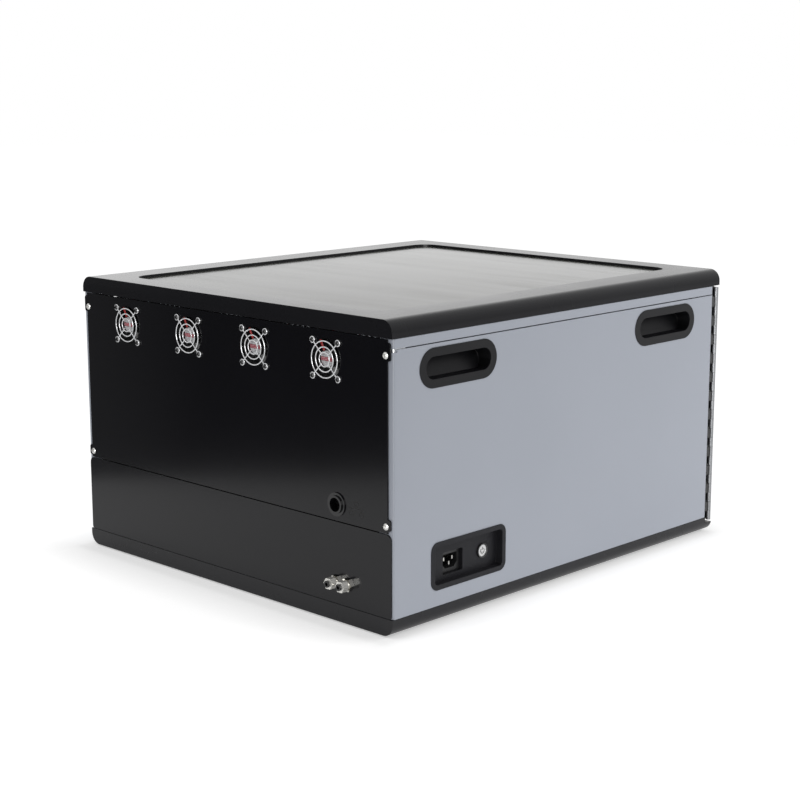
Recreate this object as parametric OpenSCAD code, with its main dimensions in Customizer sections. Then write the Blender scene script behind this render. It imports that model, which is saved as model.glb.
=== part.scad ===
// Heated dryer cabinet for filament spools: a wide box with a hinged glazed front
// door, a recessed top that carries a printer, four extractor fans along the back
// and an electronics bay under the drying chamber.
// Millimetres. X to the right seen from the door, +Y to the back, Z up.
// The origin is the middle of the footprint, fittings included, at floor level.

/* [Cabinet] */
// Width over the side panels
body_w = 548; // [520:1:600]
// Depth over the cover and the tray
body_d = 610; // [580:1:680]
// Height from the underside of the tray to the top of the cover
body_h = 350; // [345:1:420]
// Height that the rubber feet stand below the tray
foot_h = 2; // [1:0.5:8]
// Diameter of each rubber foot
foot_d = 32; // [16:1:50]
// Distance of the feet from the sides of the tray
foot_inset = 48; // [35:1:90]

/* [Cover and tray] */
// Height of the walls of the cover and of the tray
shell_h = 20; // [19:0.5:26]
// Radius along the two long edges of the cover and the tray
edge_r = 14.5; // [8:0.5:15]
// Wall of the cover and the tray
shell_t = 3; // [2:0.5:4]
// Width of the recess in the top
recess_w = 440; // [300:1:444]
// Length of the recess in the top
recess_d = 540; // [300:1:544]
// Depth of the recess in the top
recess_depth = 3; // [2.5:0.5:7]
// Corner radius of the recess in the top
recess_r = 24; // [4:1:40]
// Thickness of the plate under the recess
plate_t = 3; // [2:0.5:5]
// Ledge of the cover that the plate is bonded to
plate_ledge = 8; // [4:1:20]
// Height that the middle of the plate rises into the recess
plate_step = 0.5; // [0.3:0.1:1]
// Height left of the tray wall below the door
lip_h = 12; // [8:0.5:14]

/* [Side panels] */
// Thickness of the folded sheet of the sides and the back
sheet_t = 2; // [1:0.5:3]
// Inside radius of the folds
fold_in_r = 0.5; // [0.2:0.1:2]
// Width of the fold behind the side panel
side_return = 22; // [16:1:30]
// Height of the narrow rail between the cover and the side panel
rail_h = 10.5; // [8:0.5:14]
// Width of the rail's fold behind the cabinet
rail_return = 15; // [10:1:20]
// Open groove between neighbouring sheets
groove = 1.2; // [0.6:0.1:2.5]
// Length of the relief notch at the end of the groove
notch_l = 6; // [2:0.5:10]
// Height of the relief notch at the end of the groove
notch_h = 3; // [1:0.5:6]

/* [Back panels] */
// Height of the split between the back panels above the tray's underside
split_h = 116; // [110:1:125]
// Strip of the side fold that the upper back panel leaves open
back_margin = 7.5; // [6:0.5:12]
// Reach of the ears past the edge of the upper back panel
ear_reach = 4.5; // [2:0.5:6]
// Height of the two upper ears
ear_top_h = 20; // [12:0.5:30]
// Height of the two lower ears
ear_low_h = 13; // [8:0.5:30]
// Distance of the back screws from the edge of the panel
screw_inset = 2.5; // [1:0.5:5]
// Distance of the back screws from the nearer end of their ear
screw_end = 6; // [5:0.5:8]
// Head diameter of the back screws
screw_head_d = 8; // [6:0.5:9]
// Margin of the lower back panel
low_margin = 2.5; // [1:0.5:6]
// Upper corner radius of the lower back panel
low_corner_r = 7; // [2:0.5:15]

/* [Fans] */
// Side length of an extractor fan
fan_s = 50; // [50:1:60]
// Depth of an extractor fan
fan_t = 15; // [15:1:20]
// Distance between the screws of a fan
fan_screw_pitch = 40; // [40:1:42]
// Distance from fan to fan
fan_pitch = 118.5; // [110:0.5:124]
// Sideways offset of the row of fans
fan_row_x = 5.4; // [-10:0.2:10]
// Distance of the fan centres below the top of the cover
fan_drop = 53.4; // [50:0.2:70]
// Wire diameter of the fan guards
wire_d = 1.4; // [1.2:0.1:1.8]
// Distance of the guard's wires from the back panel
guard_stand = 0.6; // [0.4:0.1:6]
// Number of blades of a fan
blades = 7; // [5:1:9]

/* [Ports] */
// Distance of the first tube fitting from the left side of the cabinet
fitting_side = 88; // [84:1:120]
// Distance between the two tube fittings
fitting_pitch = 18.5; // [18:0.5:30]
// Height of the fittings above the tray's underside
fitting_z = 46; // [40:1:70]
// Outer diameter of the filament guide tube
tube_d = 4; // [3:0.1:4.4]
// Bore of the filament guide tube
tube_bore = 2.2; // [2:0.1:2.6]
// Width across the flats of the fitting's hexagon
hex_af = 12; // [11:0.5:13]
// Length of the fitting's hexagon
hex_l = 8.5; // [7:0.5:14]
// Travel of the fitting's release collet
collet_travel = 1; // [0.5:0.1:1.4]
// Distance of the cable bushing from the left side of the cabinet
bushing_side = 86; // [74:1:120]
// Height of the cable bushing above the tray's underside
bushing_z = 135.5; // [134:0.5:160]
// Bore of the cable bushing
bushing_bore = 16; // [10:0.5:18]
// Flange diameter of the cable bushing
bushing_flange_d = 27; // [25:0.5:30]
// Length of the cable bushing in front of its flange
bushing_reach = 3.5; // [2:0.5:8]

/* [Handles] */
// Length of a handle rim
handle_w = 126; // [115:1:140]
// Height of a handle rim
handle_h = 45; // [40:0.5:47]
// Width of the flat band round a handle's mouth
handle_band = 10; // [6:0.5:12]
// Depth of a handle at the bottom of its mouth
handle_low_depth = 14; // [10:0.5:16]
// Depth of a handle at the top of its mouth
handle_top_depth = 24; // [18:0.5:24]
// Distance of the handle centres below the top of the cover
handle_drop = 58.8; // [58:0.1:70]
// Distance of the rear handle from the back
handle_rear_y = 105; // [90:1:140]
// Distance of the front handle from the front
handle_front_y = 119; // [112:1:160]
// Height that a rim stands out from the side panel
rim_proud = 0.8; // [0.4:0.1:1.4]

/* [Power inlet] */
// Length of the power recess over its rim
inlet_w = 126; // [110:1:140]
// Height of the power recess over its rim
inlet_h = 55.5; // [52:0.5:60]
// Corner radius of the power recess
inlet_r = 10.5; // [6:0.5:20]
// Width of the rim of the power recess
inlet_band = 6; // [3:0.5:7]
// Depth of the power recess
inlet_depth = 9; // [6:0.5:11]
// Distance of the middle of the recess from the back
inlet_y = 124; // [110:1:160]
// Height of the middle of the recess above the tray's underside
inlet_z = 66.3; // [58:0.1:67]
// Distance of the mains socket from the middle of the recess, towards the back
socket_y = 17.5; // [15:0.5:22]
// Depth of the mains socket behind the floor of the recess
socket_set = 6; // [4:0.5:10]
// Distance of the power button from the middle of the recess, towards the door
button_y = 32; // [28:0.5:36]
// Diameter of the power button
button_d = 14; // [10:0.5:15]
// Travel of the power button
button_travel = 1.5; // [0.5:0.1:1.8]

/* [Door] */
// Thickness of the door
door_t = 12; // [11:0.5:14]
// Width of the stiles and rails of the door
stile_w = 34; // [32:1:50]
// Thickness of the window
pane_t = 4; // [3:0.5:5]
// Radius of the knuckles of the piano hinge
knuckle_r = 3; // [2.5:0.1:3.5]
// Number of knuckles
knuckle_n = 25; // [19:2:31]
// Diameter of the hinge pin
pin_d = 3; // [2:0.1:3]
// Thickness of the hinge leaves
leaf_t = 1.2; // [0.8:0.1:1.4]
// Width of the leaf on the cabinet
frame_leaf_w = 38; // [26:1:38]
// Width of the leaf on the door
door_leaf_w = 28; // [20:1:29]
// Height of the finger pull
pull_h = 84; // [50:1:120]
// Width of the finger pull
pull_w = 16; // [12:0.5:18]
// Depth of the finger pull
pull_depth = 8; // [6:0.5:8.5]
// Thickness of the door seal
seal_t = 3; // [2:0.5:4]
// Width of the door seal
seal_w = 6; // [4:0.5:7]

/* [Chamber] */
// Distance of the drying chamber from the outside of the side panels
chamber_side = 31; // [31:1:40]
// Height of the chamber floor above the tray's underside
deck_h = 98; // [96:0.5:99]
// Distance of the chamber's back wall from the back of the cabinet
plenum = 67; // [60:1:80]
// Thickness of the chamber's sheets
liner_t = 2; // [1:0.5:2]
// Height of the frame between the chamber opening and the ceiling
header_h = 16; // [13:1:30]
// Height of the chamber opening's sill above the chamber floor
sill_h = 4; // [2:0.5:5]
// Diameter of the spool rollers
roller_d = 16; // [14:0.5:18]
// Distance between the two rollers of a cradle
roller_span = 100; // [80:1:130]
// Height of the roller centres above the chamber floor
roller_z = 11; // [10:0.5:14]
// Diameter of the roller stubs
stub_d = 8; // [6:0.5:9]
// Distance of the front cradle's middle from the door opening
front_cradle = 122; // [110:1:140]
// Distance of the rear cradle's middle from the heater
rear_cradle = 118; // [108:1:130]
// Thickness of the cradle brackets
bracket_t = 5; // [4:0.5:7]

/* [Heater] */
// Width of the heater box
heater_w = 150; // [120:1:200]
// Depth of the heater box
heater_d = 66; // [64:1:72]
// Height of the heater box
heater_h = 96; // [90:1:120]
// Side length of the circulation fan
blower_s = 60; // [52:1:62]

/* [Electronics] */
// Length of the power supply
supply_w = 199; // [150:1:215]
// Depth of the power supply
supply_d = 98; // [80:1:110]
// Height of the power supply
supply_h = 42; // [30:1:60]
// Width of the control board
board_w = 120; // [80:1:140]
// Depth of the control board
board_d = 90; // [60:1:100]
// Width of the display
display_w = 112; // [80:1:130]
// Height of the display
display_h = 44; // [30:1:50]

/* [Hidden] */

$fn = 48;
// Overshoot of cutting tools
cut = 0.5;
// Gap between pieces that sit side by side without touching
seat = 0.4;
// Radial play of a shaft in its bearing
play = 0.05;
// Clearance of a screw in a sheet
screw_clear = 0.4;

// Ports at the back, from the panel outwards
bulkhead_nut = 3;
thread_gap = 1.5;
collet_flange = 1;
collet_gap = collet_travel + 0.3;
fitting_reach = bulkhead_nut + thread_gap + hex_l + collet_gap + collet_flange;

// Outer planes of the cabinet
back_y = (body_d - fitting_reach) / 2;
front_y = back_y - body_d;
mid_y = (back_y + front_y) / 2;
side_x = body_w / 2;
tray_z = foot_h;
tray_top = tray_z + shell_h;
top_z = tray_z + body_h;
cover_z = top_z - shell_h;
skin_y = back_y - sheet_t;
inner_y = skin_y - sheet_t;
inner_x = side_x - sheet_t;
fold_r = fold_in_r + sheet_t;
base_t = 2;
base_top = tray_top + base_t;

// Door and the frame it shuts against
door_gap = 1.5;
door_z0 = tray_z + lip_h + door_gap;
door_z1 = cover_z - door_gap;
door_back_y = front_y + door_t;
frame_y = door_back_y + seal_t;
frame_t = 4;
lip_gap = 0.5;
side_front_y = frame_y + 1.2;
front_x0 = leaf_t - inner_x;
front_x1 = side_x - shell_t;

// Hinge
hinge_x = knuckle_r - side_x;
hinge_y = front_y + knuckle_r;
hinge_end = 1.25;
hinge_z0 = door_z0 + hinge_end;
hinge_z1 = door_z1 - hinge_end;
knuckle_l = (hinge_z1 - hinge_z0) / knuckle_n;
knuckle_gap = 0.3;
hinge_clear = 1.2;
leaf_notch = 2.5;
frame_leaf_y1 = hinge_y + frame_leaf_w;
door_leaf_x1 = hinge_x + door_leaf_w;
door_x0 = hinge_x + knuckle_r + 1;
door_x1 = side_x - 1.5;
door_r = 3;

// Rails, side panels and posts
rail_z1 = cover_z - seat;
rail_z0 = rail_z1 - rail_h;
rail_flange = 18;
panel_z0 = tray_top + seat;
panel_z1 = rail_z0 - groove;
post_s = 20;
post_t = 2;
post_top = rail_z1 - sheet_t;

// Chamber
chamber_x = side_x - chamber_side;
chamber_front_y = frame_y + frame_t;
chamber_back_y = back_y - plenum;
deck_top = tray_z + deck_h;
deck_z = deck_top - liner_t;
ceiling_z = cover_z + 2;
wall_foot = 5;
mouth_z0 = deck_top + sill_h;
mouth_z1 = ceiling_z - header_h;
mouth_r = 8;
seal_gap = 2;

// Back panels
split_z = tray_z + split_h;
upper_z0 = split_z + groove / 2;
upper_gap = 1;
upper_z1 = cover_z - upper_gap;
lower_z0 = panel_z0 + 0.2;
lower_z1 = split_z - groove / 2;
upper_x = side_x - back_margin;
lower_x = side_x - low_margin;
ear_drop = 3.5;
ear_lift = 2.4;
ear_r = 3;
ear_root = 8;
screw_x = upper_x - screw_inset;
screw_z_top = upper_z1 - ear_drop - ear_top_h + screw_end;
screw_z_low = upper_z0 + ear_lift + ear_low_h - screw_end - 2;
screw_d = 4;
screw_head_h = 2.4;
screw_l = 8;
socket_af = 3;
socket_deep = 1.9;

// Extractor fans
fan_hub_d = 20;
fan_wall = 1.5;
hub_t = 3.5;
rotor_gap = 1.2;
tip_gap = 1;
shaft_d = 2;
strut_w = 2.4;
strut_z = 1.6;
strut_top = 3.1;
blade_t = 1.2;
blade_camber_r = 15;
blade_a0 = 20;
blade_a1 = 64;
fan_screw_d = 2.9;
fan_screw_head_d = 5.6;
fan_screw_head_h = 1.9;
head_sink = 0.12;
ring_r = [20.5, 13.9, 8];
eye_r = 3.2;
fan_cz = top_z - fan_drop;
wire_y = back_y + guard_stand + wire_d / 2;
ring_lift = 0.7;
lead_turn = 62;
lead_d = 1.3;
lead_pitch = 1.5;
lead_level = 4;
bend_r = 2.5;
pcb_t = 1.6;
fan_board_drop = 55;
fan_board_z = fan_cz - fan_board_drop;
plenum_slots = 5;
plenum_slot_edge = 5;
plenum_slot_w = 4;
plenum_slot_pitch = 9;
fan_board_w = 60;
fan_board_h = 30;
standoff_h = 4;
standoff_d = 5;
plug_w = 8;
plug_h = 6;
plug_pitch = 12;

function fan_x(i) = fan_row_x + fan_pitch * (1.5 - i);

// Tube fittings
fit_z = tray_z + fitting_z;
thread_d = 10;
nut_af = 14;
inner_nut_t = 3.2;
fit_tail = 8;
port_d = 4.2;
port_end = 2;
collet_d = 8;
collet_body_d = 6.4;
collet_l = 6;
stop_d = 2.4;
tube_bend_r = 30;
tube_top_y = back_y - 92;
hex_y0 = back_y + bulkhead_nut + thread_gap;
hex_y1 = hex_y0 + hex_l;
fit_tail_y = skin_y - inner_nut_t - fit_tail;
tube_end_y = fit_tail_y + 6;
inlet_cone_d = 18;
inlet_cone_h = 6;
inlet_mouth_d = 10;

function fit_x(i) = fitting_side - side_x - fitting_pitch * i;

// Cable bushing
bush_x = bushing_side - side_x;
bush_z = tray_z + bushing_z;
bush_flange_t = 1.6;
bush_wall = 2.25;
bush_tail = 4;

// Handles
handle_cz = top_z - handle_drop;
handle_y = [back_y - handle_rear_y, front_y + handle_front_y];
cup_t = 2;
cup_gap = 0.3;
mouth_w = handle_w - 2 * handle_band;
mouth_tall = handle_h - 2 * handle_band;

// Power recess
inlet_cy = back_y - inlet_y;
inlet_cz = tray_z + inlet_z;
inlet_floor_x = inlet_depth - side_x;
pocket_w = inlet_w - 2 * inlet_band;
pocket_h = inlet_h - 2 * inlet_band;
pocket_r = max(1, inlet_r - inlet_band);
socket_w = 33;
socket_h = 26;
socket_r = 2;
socket_body_l = 21;
socket_mouth_w = 24.2;
socket_mouth_h = 16.6;
socket_mouth_l = 16.5;
socket_chamfer = 5;
socket_cy = inlet_cy + socket_y;
socket_cz = inlet_cz - 3.3;
socket_x = inlet_floor_x + socket_set;
pin_pitch = 14;
pin_h = 4;
pin_t = 2;
live_set = 1.5;
earth_set = 0;
button_cy = inlet_cy - button_y;
button_cz = inlet_cz - 1;
bezel_d = button_d + 3;
bezel_t = 1.8;
button_sunk = 0.8;
button_proud = bezel_t - button_sunk;
button_l = 9;
button_x1 = inlet_floor_x + button_l - cup_t - button_travel;

// Door parts
pane_ledge = 6;
pane_set = 1.5;
pane_r = 6;
pane_x0 = door_x0 + stile_w;
pane_x1 = door_x1 - stile_w;
pane_z0 = mouth_z0 + 10;
pane_z1 = door_z1 - stile_w;
pull_x = door_x1 - stile_w / 2;
pull_z = (door_z0 + door_z1) / 2;
magnet_d = 10;
magnet_x = door_x1 - 10;
magnet_z = 60;
display_z = (base_top + deck_z) / 2;
display_edge = 6;
display_box = 10;
display_proud = 1;

// Rollers
roller_cz = deck_top + roller_z;
roller_end = 3;
bracket_h = 18;
bracket_x = chamber_x - bracket_t;

// Heater
heater_sheet = 1.5;
heater_gap = 1;
heater_y1 = chamber_back_y - liner_t - heater_gap;
heater_y0 = heater_y1 - heater_d;
heater_z1 = deck_top + heater_h;
heater_edge = 15;
slot_z = 14;
cradle_y = [chamber_front_y + front_cradle, heater_y0 - rear_cradle];
blower_t = 15;
fin_n = 13;
fin_t = 1.2;
slot_h = 4;

// Electronics bay
supply_side = 45;
supply_x = side_x - supply_side - supply_w;
supply_y = mid_y;
supply_sheet = 1.5;
supply_vents = 9;
supply_vent_l = 50;
terminal_l = 22;
terminal_z = 14;
lid_vents = 12;
lid_vent_edge = 15;
lid_vent_w = 4;
lid_vent_pitch = 11;
board_side = 154;
board_gap = 26;
board_x = board_side - side_x;
board_y = supply_y - supply_d / 2 - board_gap - board_d / 2;
board_edge = 2;
chip_s = 20;
chip_t = 3;
jack_w = 14;
jack_l = 12;
jack_t = 10;
jack_pitch = 20;
can_d = 10;
can_h = 16;
can_pitch = 22;
board_vents = 5;
board_vent_l = 40;
vent_w = 5;
vent_pitch = 14;

// Outlines swept along one axis
module slab_x(x0, x1)
    translate([x0, 0, 0]) rotate([90, 0, 90]) linear_extrude(x1 - x0) children();
module slab_y(y0, y1)
    translate([0, y1, 0]) rotate([90, 0, 0]) linear_extrude(y1 - y0) children();
module slab_z(z0, z1)
    translate([0, 0, z0]) linear_extrude(z1 - z0) children();
module rect(x0, x1, y0, y1)
    translate([x0, y0]) square([x1 - x0, y1 - y0]);
module block(x, y, z)
    translate([x[0], y[0], z[0]]) cube([x[1] - x[0], y[1] - y[0], z[1] - z[0]]);
module round_rect(w, h, r) {
    square([w - 2 * r, h], center = true);
    square([w, h - 2 * r], center = true);
    for (sx = [-1, 1], sy = [-1, 1])
        translate([sx * (w / 2 - r), sy * (h / 2 - r)]) circle(r);
}
module round_span(x0, x1, y0, y1, r)
    translate([(x0 + x1) / 2, (y0 + y1) / 2]) round_rect(x1 - x0, y1 - y0, r);
module stadium(w, h) {
    square([w - h, h], center = true);
    for (s = [-1, 1]) translate([s * (w - h) / 2, 0]) circle(h / 2);
}
// Round bars along Y and X between two planes
module rod_y(x, z, r, y0, y1)
    translate([x, y1, z]) rotate([90, 0, 0]) cylinder(r = r, h = y1 - y0);
module rod_x(y, z, r, x0, x1)
    translate([x0, y, z]) rotate([0, 90, 0]) cylinder(r = r, h = x1 - x0);
// Hexagon along Y, measured across its flats
module hex_y(x, z, af, y0, y1)
    translate([x, y1, z]) rotate([90, 0, 0]) cylinder(d = af / cos(30), h = y1 - y0, $fn = 6);
module copy_x() {
    children();
    mirror([1, 0, 0]) children();
}

// Tray and cover: upright walls that turn over into the flat, seen from the end
module shell_outline(inset, low) {
    x = side_x - inset;
    z = shell_h - inset;
    r = edge_r - inset;
    intersection() {
        rect(-x, x, -low, z);
        union() {
            rect(-x, x, -low, z - r);
            rect(r - x, x - r, -low, z);
            for (s = [-1, 1]) translate([s * (x - r), z - r]) circle(r);
        }
    }
}
module vent_field(n, l, w, pitch)
    for (i = [0 : n - 1]) translate([(i - (n - 1) / 2) * pitch, 0]) rotate(90) stadium(l, w);

module base_tray() color([0.2, 0.2, 0.21]) {
    difference() {
        slab_y(front_y, back_y) translate([0, tray_top]) mirror([0, 1]) shell_outline(0, 0);
        slab_y(front_y + shell_t, back_y - shell_t)
            translate([0, tray_top]) mirror([0, 1]) shell_outline(shell_t, cut);
        block([-side_x - cut, side_x + cut], [front_y - cut, frame_y - lip_gap],
            [tray_z + lip_h, tray_top + cut]);
        tray_vents(tray_z - cut, tray_z + shell_t + cut);
    }
    // Ledge that closes the tray under the door
    block([shell_t - side_x, side_x - shell_t], [front_y + shell_t, frame_y],
        [tray_z + lip_h - shell_t, tray_z + lip_h]);
}
// Slots under the power supply and the control board
module tray_vents(z0, z1) slab_z(z0, z1) {
    translate([supply_x + supply_w / 2, supply_y])
        vent_field(supply_vents, supply_vent_l, vent_w, vent_pitch);
    translate([board_x, board_y]) vent_field(board_vents, board_vent_l, vent_w, vent_pitch);
}
module rubber_feet() color([0.06, 0.06, 0.06])
    for (sx = [-1, 1], sy = [-1, 1])
        translate([sx * (side_x - foot_inset), mid_y + sy * (body_d / 2 - foot_inset), 0])
            rotate_extrude() {
                rect(0, foot_d / 2, foot_h / 2, foot_h);
                rect(0, foot_d / 2 - foot_h / 2, 0, foot_h);
                translate([foot_d / 2 - foot_h / 2, foot_h / 2]) circle(foot_h / 2);
            }
module base_plate() color([0.7, 0.71, 0.72]) difference() {
    block([-inner_x, inner_x], [frame_y, inner_y], [tray_top, base_top]);
    tray_vents(tray_top - cut, base_top + cut);
}
module top_cover() color([0.11, 0.11, 0.12]) difference() {
    slab_y(front_y, back_y) translate([0, cover_z]) shell_outline(0, 0);
    slab_y(front_y + shell_t, back_y - shell_t) translate([0, cover_z]) intersection() {
        shell_outline(shell_t, cut);
        rect(-side_x, side_x, -cut, shell_h - recess_depth - plate_step);
    }
    slab_z(top_z - recess_depth - plate_step - cut, top_z + cut)
        translate([0, mid_y]) round_rect(recess_w, recess_d, recess_r);
}
module top_plate() color([0.16, 0.16, 0.16]) translate([0, mid_y, top_z - recess_depth - plate_t]) {
    linear_extrude(plate_t - plate_step)
        round_rect(recess_w + 2 * plate_ledge, recess_d + 2 * plate_ledge, recess_r + plate_ledge);
    linear_extrude(plate_t) round_rect(recess_w - 2 * seat, recess_d - 2 * seat, recess_r - seat);
}

// Left side sheet from above: flat side, fold and the return behind the cabinet
module side_plan(back_w) {
    rect(-side_x, -inner_x, side_front_y, skin_y - fold_r);
    rect(fold_r - side_x, back_w - side_x, inner_y, skin_y);
    translate([fold_r - side_x, skin_y - fold_r]) intersection() {
        difference() {
            circle(fold_r);
            circle(fold_in_r);
        }
        rect(-fold_r, 0, 0, fold_r);
    }
}
module side_sheet() difference() {
    slab_z(panel_z0, panel_z1) side_plan(side_return);
    // Relief notch under the groove, round the fold
    block([-side_x - cut, notch_l - side_x], [skin_y - notch_l, skin_y + cut],
        [panel_z1 - notch_h, panel_z1 + cut]);
    for (i = [0, 1]) slab_x(-side_x - cut, cut - inner_x)
        translate([handle_y[i], handle_cz])
            stadium(mouth_w + 2 * (cup_t + cup_gap), mouth_tall + 2 * (cup_t + cup_gap));
    for (z = [screw_z_top, screw_z_low])
        rod_y(-screw_x, z, (screw_d + screw_clear) / 2, inner_y - cut, skin_y + cut);
}
module side_panel_left() color([0.62, 0.64, 0.67]) difference() {
    side_sheet();
    slab_x(-side_x - cut, cut - inner_x) translate([inlet_cy, inlet_cz])
        round_rect(pocket_w + 2 * (cup_t + cup_gap), pocket_h + 2 * (cup_t + cup_gap),
            pocket_r + cup_t + cup_gap);
}
module side_panel_right() color([0.62, 0.64, 0.67]) mirror([1, 0, 0]) side_sheet();
module top_rails() color([0.62, 0.64, 0.67]) copy_x() {
    slab_z(rail_z0, rail_z1) side_plan(rail_return);
    block([-side_x + sheet_t / 2, rail_flange - inner_x],
        [frame_leaf_y1 + seat, inner_y + sheet_t / 2], [post_top, rail_z1]);
}
module post(x, y) slab_z(base_top, post_top) translate([x, y]) difference() {
    round_rect(post_s, post_s, post_t);
    square(post_s - 2 * post_t, center = true);
}
module corner_posts() color([0.75, 0.76, 0.78]) {
    post(front_x0 + post_s / 2, chamber_front_y + post_s / 2);
    post(inner_x - post_s / 2, chamber_front_y + post_s / 2);
    for (s = [-1, 1]) difference() {
        post(s * (inner_x - post_s / 2), inner_y - post_s / 2);
        for (z = [screw_z_top, screw_z_low])
            rod_y(s * screw_x, z, screw_d / 2, inner_y - post_s / 2, inner_y + cut);
    }
}

// Chamber of folded sheet
module chamber_floor() color([0.75, 0.76, 0.78]) difference() {
    block([-inner_x, inner_x], [chamber_front_y, inner_y], [deck_z, deck_top]);
    for (s = [-1, 1]) {
        x = s * (inner_x - post_s / 2);
        w = post_s / 2 + leaf_t + seat;
        block([x - w, x + w], [chamber_front_y - cut, frame_leaf_y1 + seat], [deck_z - cut, deck_top + cut]);
        block([x - w, x + w], [inner_y - post_s - seat, inner_y + cut], [deck_z - cut, deck_top + cut]);
    }
    for (i = [0, 1]) translate([fit_x(i), tube_top_y, deck_z - cut])
        cylinder(d = tube_d + 1, h = liner_t + 2 * cut);
}
module chamber_walls() color([0.78, 0.79, 0.8]) copy_x() {
    block([-chamber_x - liner_t, -chamber_x], [chamber_front_y, chamber_back_y - liner_t],
        [deck_top, ceiling_z]);
    block([-chamber_x - wall_foot, -chamber_x - liner_t / 2],
        [chamber_front_y, chamber_back_y - liner_t], [deck_top, deck_top + liner_t]);
}
module chamber_back() color([0.78, 0.79, 0.8]) difference() {
    block([-chamber_x - liner_t, chamber_x + liner_t], [chamber_back_y - liner_t, chamber_back_y],
        [deck_top, ceiling_z]);
    for (i = [0 : 3]) slab_y(chamber_back_y - liner_t - cut, chamber_back_y + cut)
        translate([fan_x(i), fan_cz])
            vent_field(plenum_slots, fan_s - 2 * plenum_slot_edge, plenum_slot_w, plenum_slot_pitch);
}
module chamber_ceiling() color([0.78, 0.79, 0.8])
    block([shell_t - side_x, side_x - shell_t], [frame_y, back_y - shell_t],
        [ceiling_z, ceiling_z + liner_t]);
module front_frame() color([0.3, 0.3, 0.31]) difference() {
    block([front_x0, front_x1], [frame_y, chamber_front_y], [base_top, ceiling_z]);
    slab_y(frame_y - cut, chamber_front_y + cut) {
        round_span(-chamber_x, chamber_x, mouth_z0, mouth_z1, mouth_r);
        translate([0, display_z]) round_rect(display_w, display_h, 3);
    }
}
module display_module() color([0.05, 0.06, 0.08]) translate([0, 0, display_z]) {
    slab_y(frame_y - display_proud, chamber_front_y + cut) round_rect(display_w, display_h, 3);
    slab_y(chamber_front_y, chamber_front_y + display_box)
        round_rect(display_w + 2 * display_edge, display_h + 2 * display_edge, 3);
}

// Back panels and their screws
module upper_outline() {
    rect(-upper_x, upper_x, upper_z0, upper_z1);
    for (s = [-1, 1]) {
        x = s * (upper_x + (ear_reach - ear_root) / 2);
        translate([x, upper_z1 - ear_drop - ear_top_h / 2])
            round_rect(ear_reach + ear_root, ear_top_h, ear_r);
        translate([x, upper_z0 + ear_lift + ear_low_h / 2])
            round_rect(ear_reach + ear_root, ear_low_h, ear_r);
    }
}
module at_fan_screws() for (sx = [-1, 1], sz = [-1, 1])
    translate([sx * fan_screw_pitch / 2, 0, sz * fan_screw_pitch / 2]) children();
module rear_panel_upper() color([0.08, 0.08, 0.09]) difference() {
    slab_y(skin_y, back_y) upper_outline();
    for (i = [0 : 3]) translate([fan_x(i), 0, fan_cz]) {
        rod_y(0, 0, fan_s / 2 - 2, skin_y - cut, back_y + cut);
        at_fan_screws() rod_y(0, 0, (fan_screw_d + screw_clear) / 2, skin_y - cut, back_y + cut);
    }
    for (s = [-1, 1], z = [screw_z_top, screw_z_low])
        rod_y(s * screw_x, z, (screw_d + screw_clear) / 2, skin_y - cut, back_y + cut);
    rod_y(bush_x, bush_z, bushing_bore / 2 + bush_wall, skin_y - cut, back_y + cut);
}
module rear_panel_lower() color([0.12, 0.12, 0.13]) difference() {
    slab_y(skin_y, back_y) {
        round_span(-lower_x, lower_x, lower_z0, lower_z1, low_corner_r);
        round_span(-lower_x, lower_x, lower_z0, lower_z1 - low_corner_r, ear_r);
    }
    for (i = [0, 1]) rod_y(fit_x(i), fit_z, thread_d / 2, skin_y - cut, back_y + cut);
}
module rear_screws() color([0.72, 0.72, 0.72])
    for (s = [-1, 1], z = [screw_z_top, screw_z_low]) translate([s * screw_x, back_y, z])
        rotate([-90, 0, 0]) difference() {
            union() {
                translate([0, 0, -screw_l]) cylinder(d = screw_d, h = screw_l + cut);
                dome(screw_head_d, screw_head_h);
            }
            translate([0, 0, screw_head_h - socket_deep])
                cylinder(d = socket_af / cos(30), h = socket_deep + cut, $fn = 6);
        }
// Button head: a slice of a sphere
module dome(d, h) {
    r = (d * d / 4 + h * h) / (2 * h);
    intersection() {
        translate([0, 0, h - r]) sphere(r);
        cylinder(d = d, h = h);
    }
}

// Fans, with Z from the strut side into the fan
module fan_body(s, depth, pitch) {
    difference() {
        linear_extrude(depth) round_rect(s, s, 3);
        translate([0, 0, -cut]) cylinder(d = s - 2 * fan_wall, h = depth + 2 * cut);
        for (sx = [-1, 1], sy = [-1, 1]) translate([sx * pitch / 2, sy * pitch / 2, -cut])
            cylinder(d = fan_screw_d, h = depth + 2 * cut);
        // Way out for the leads
        rotate(lead_turn) translate([s / 4, -lead_pitch, -cut]) cube([s / 2, 2 * lead_pitch, strut_z + cut]);
    }
    difference() {
        union() {
            cylinder(d = fan_hub_d, h = hub_t);
            for (k = [0 : 2]) rotate(lead_turn + 120 * k) block(
                [fan_hub_d / 2 - 1, (s - fan_wall) / 2], [-strut_w / 2, strut_w / 2], [strut_z, strut_top]);
        }
        translate([0, 0, hub_t / 3]) cylinder(d = shaft_d + 2 * play, h = hub_t);
    }
}
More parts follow.
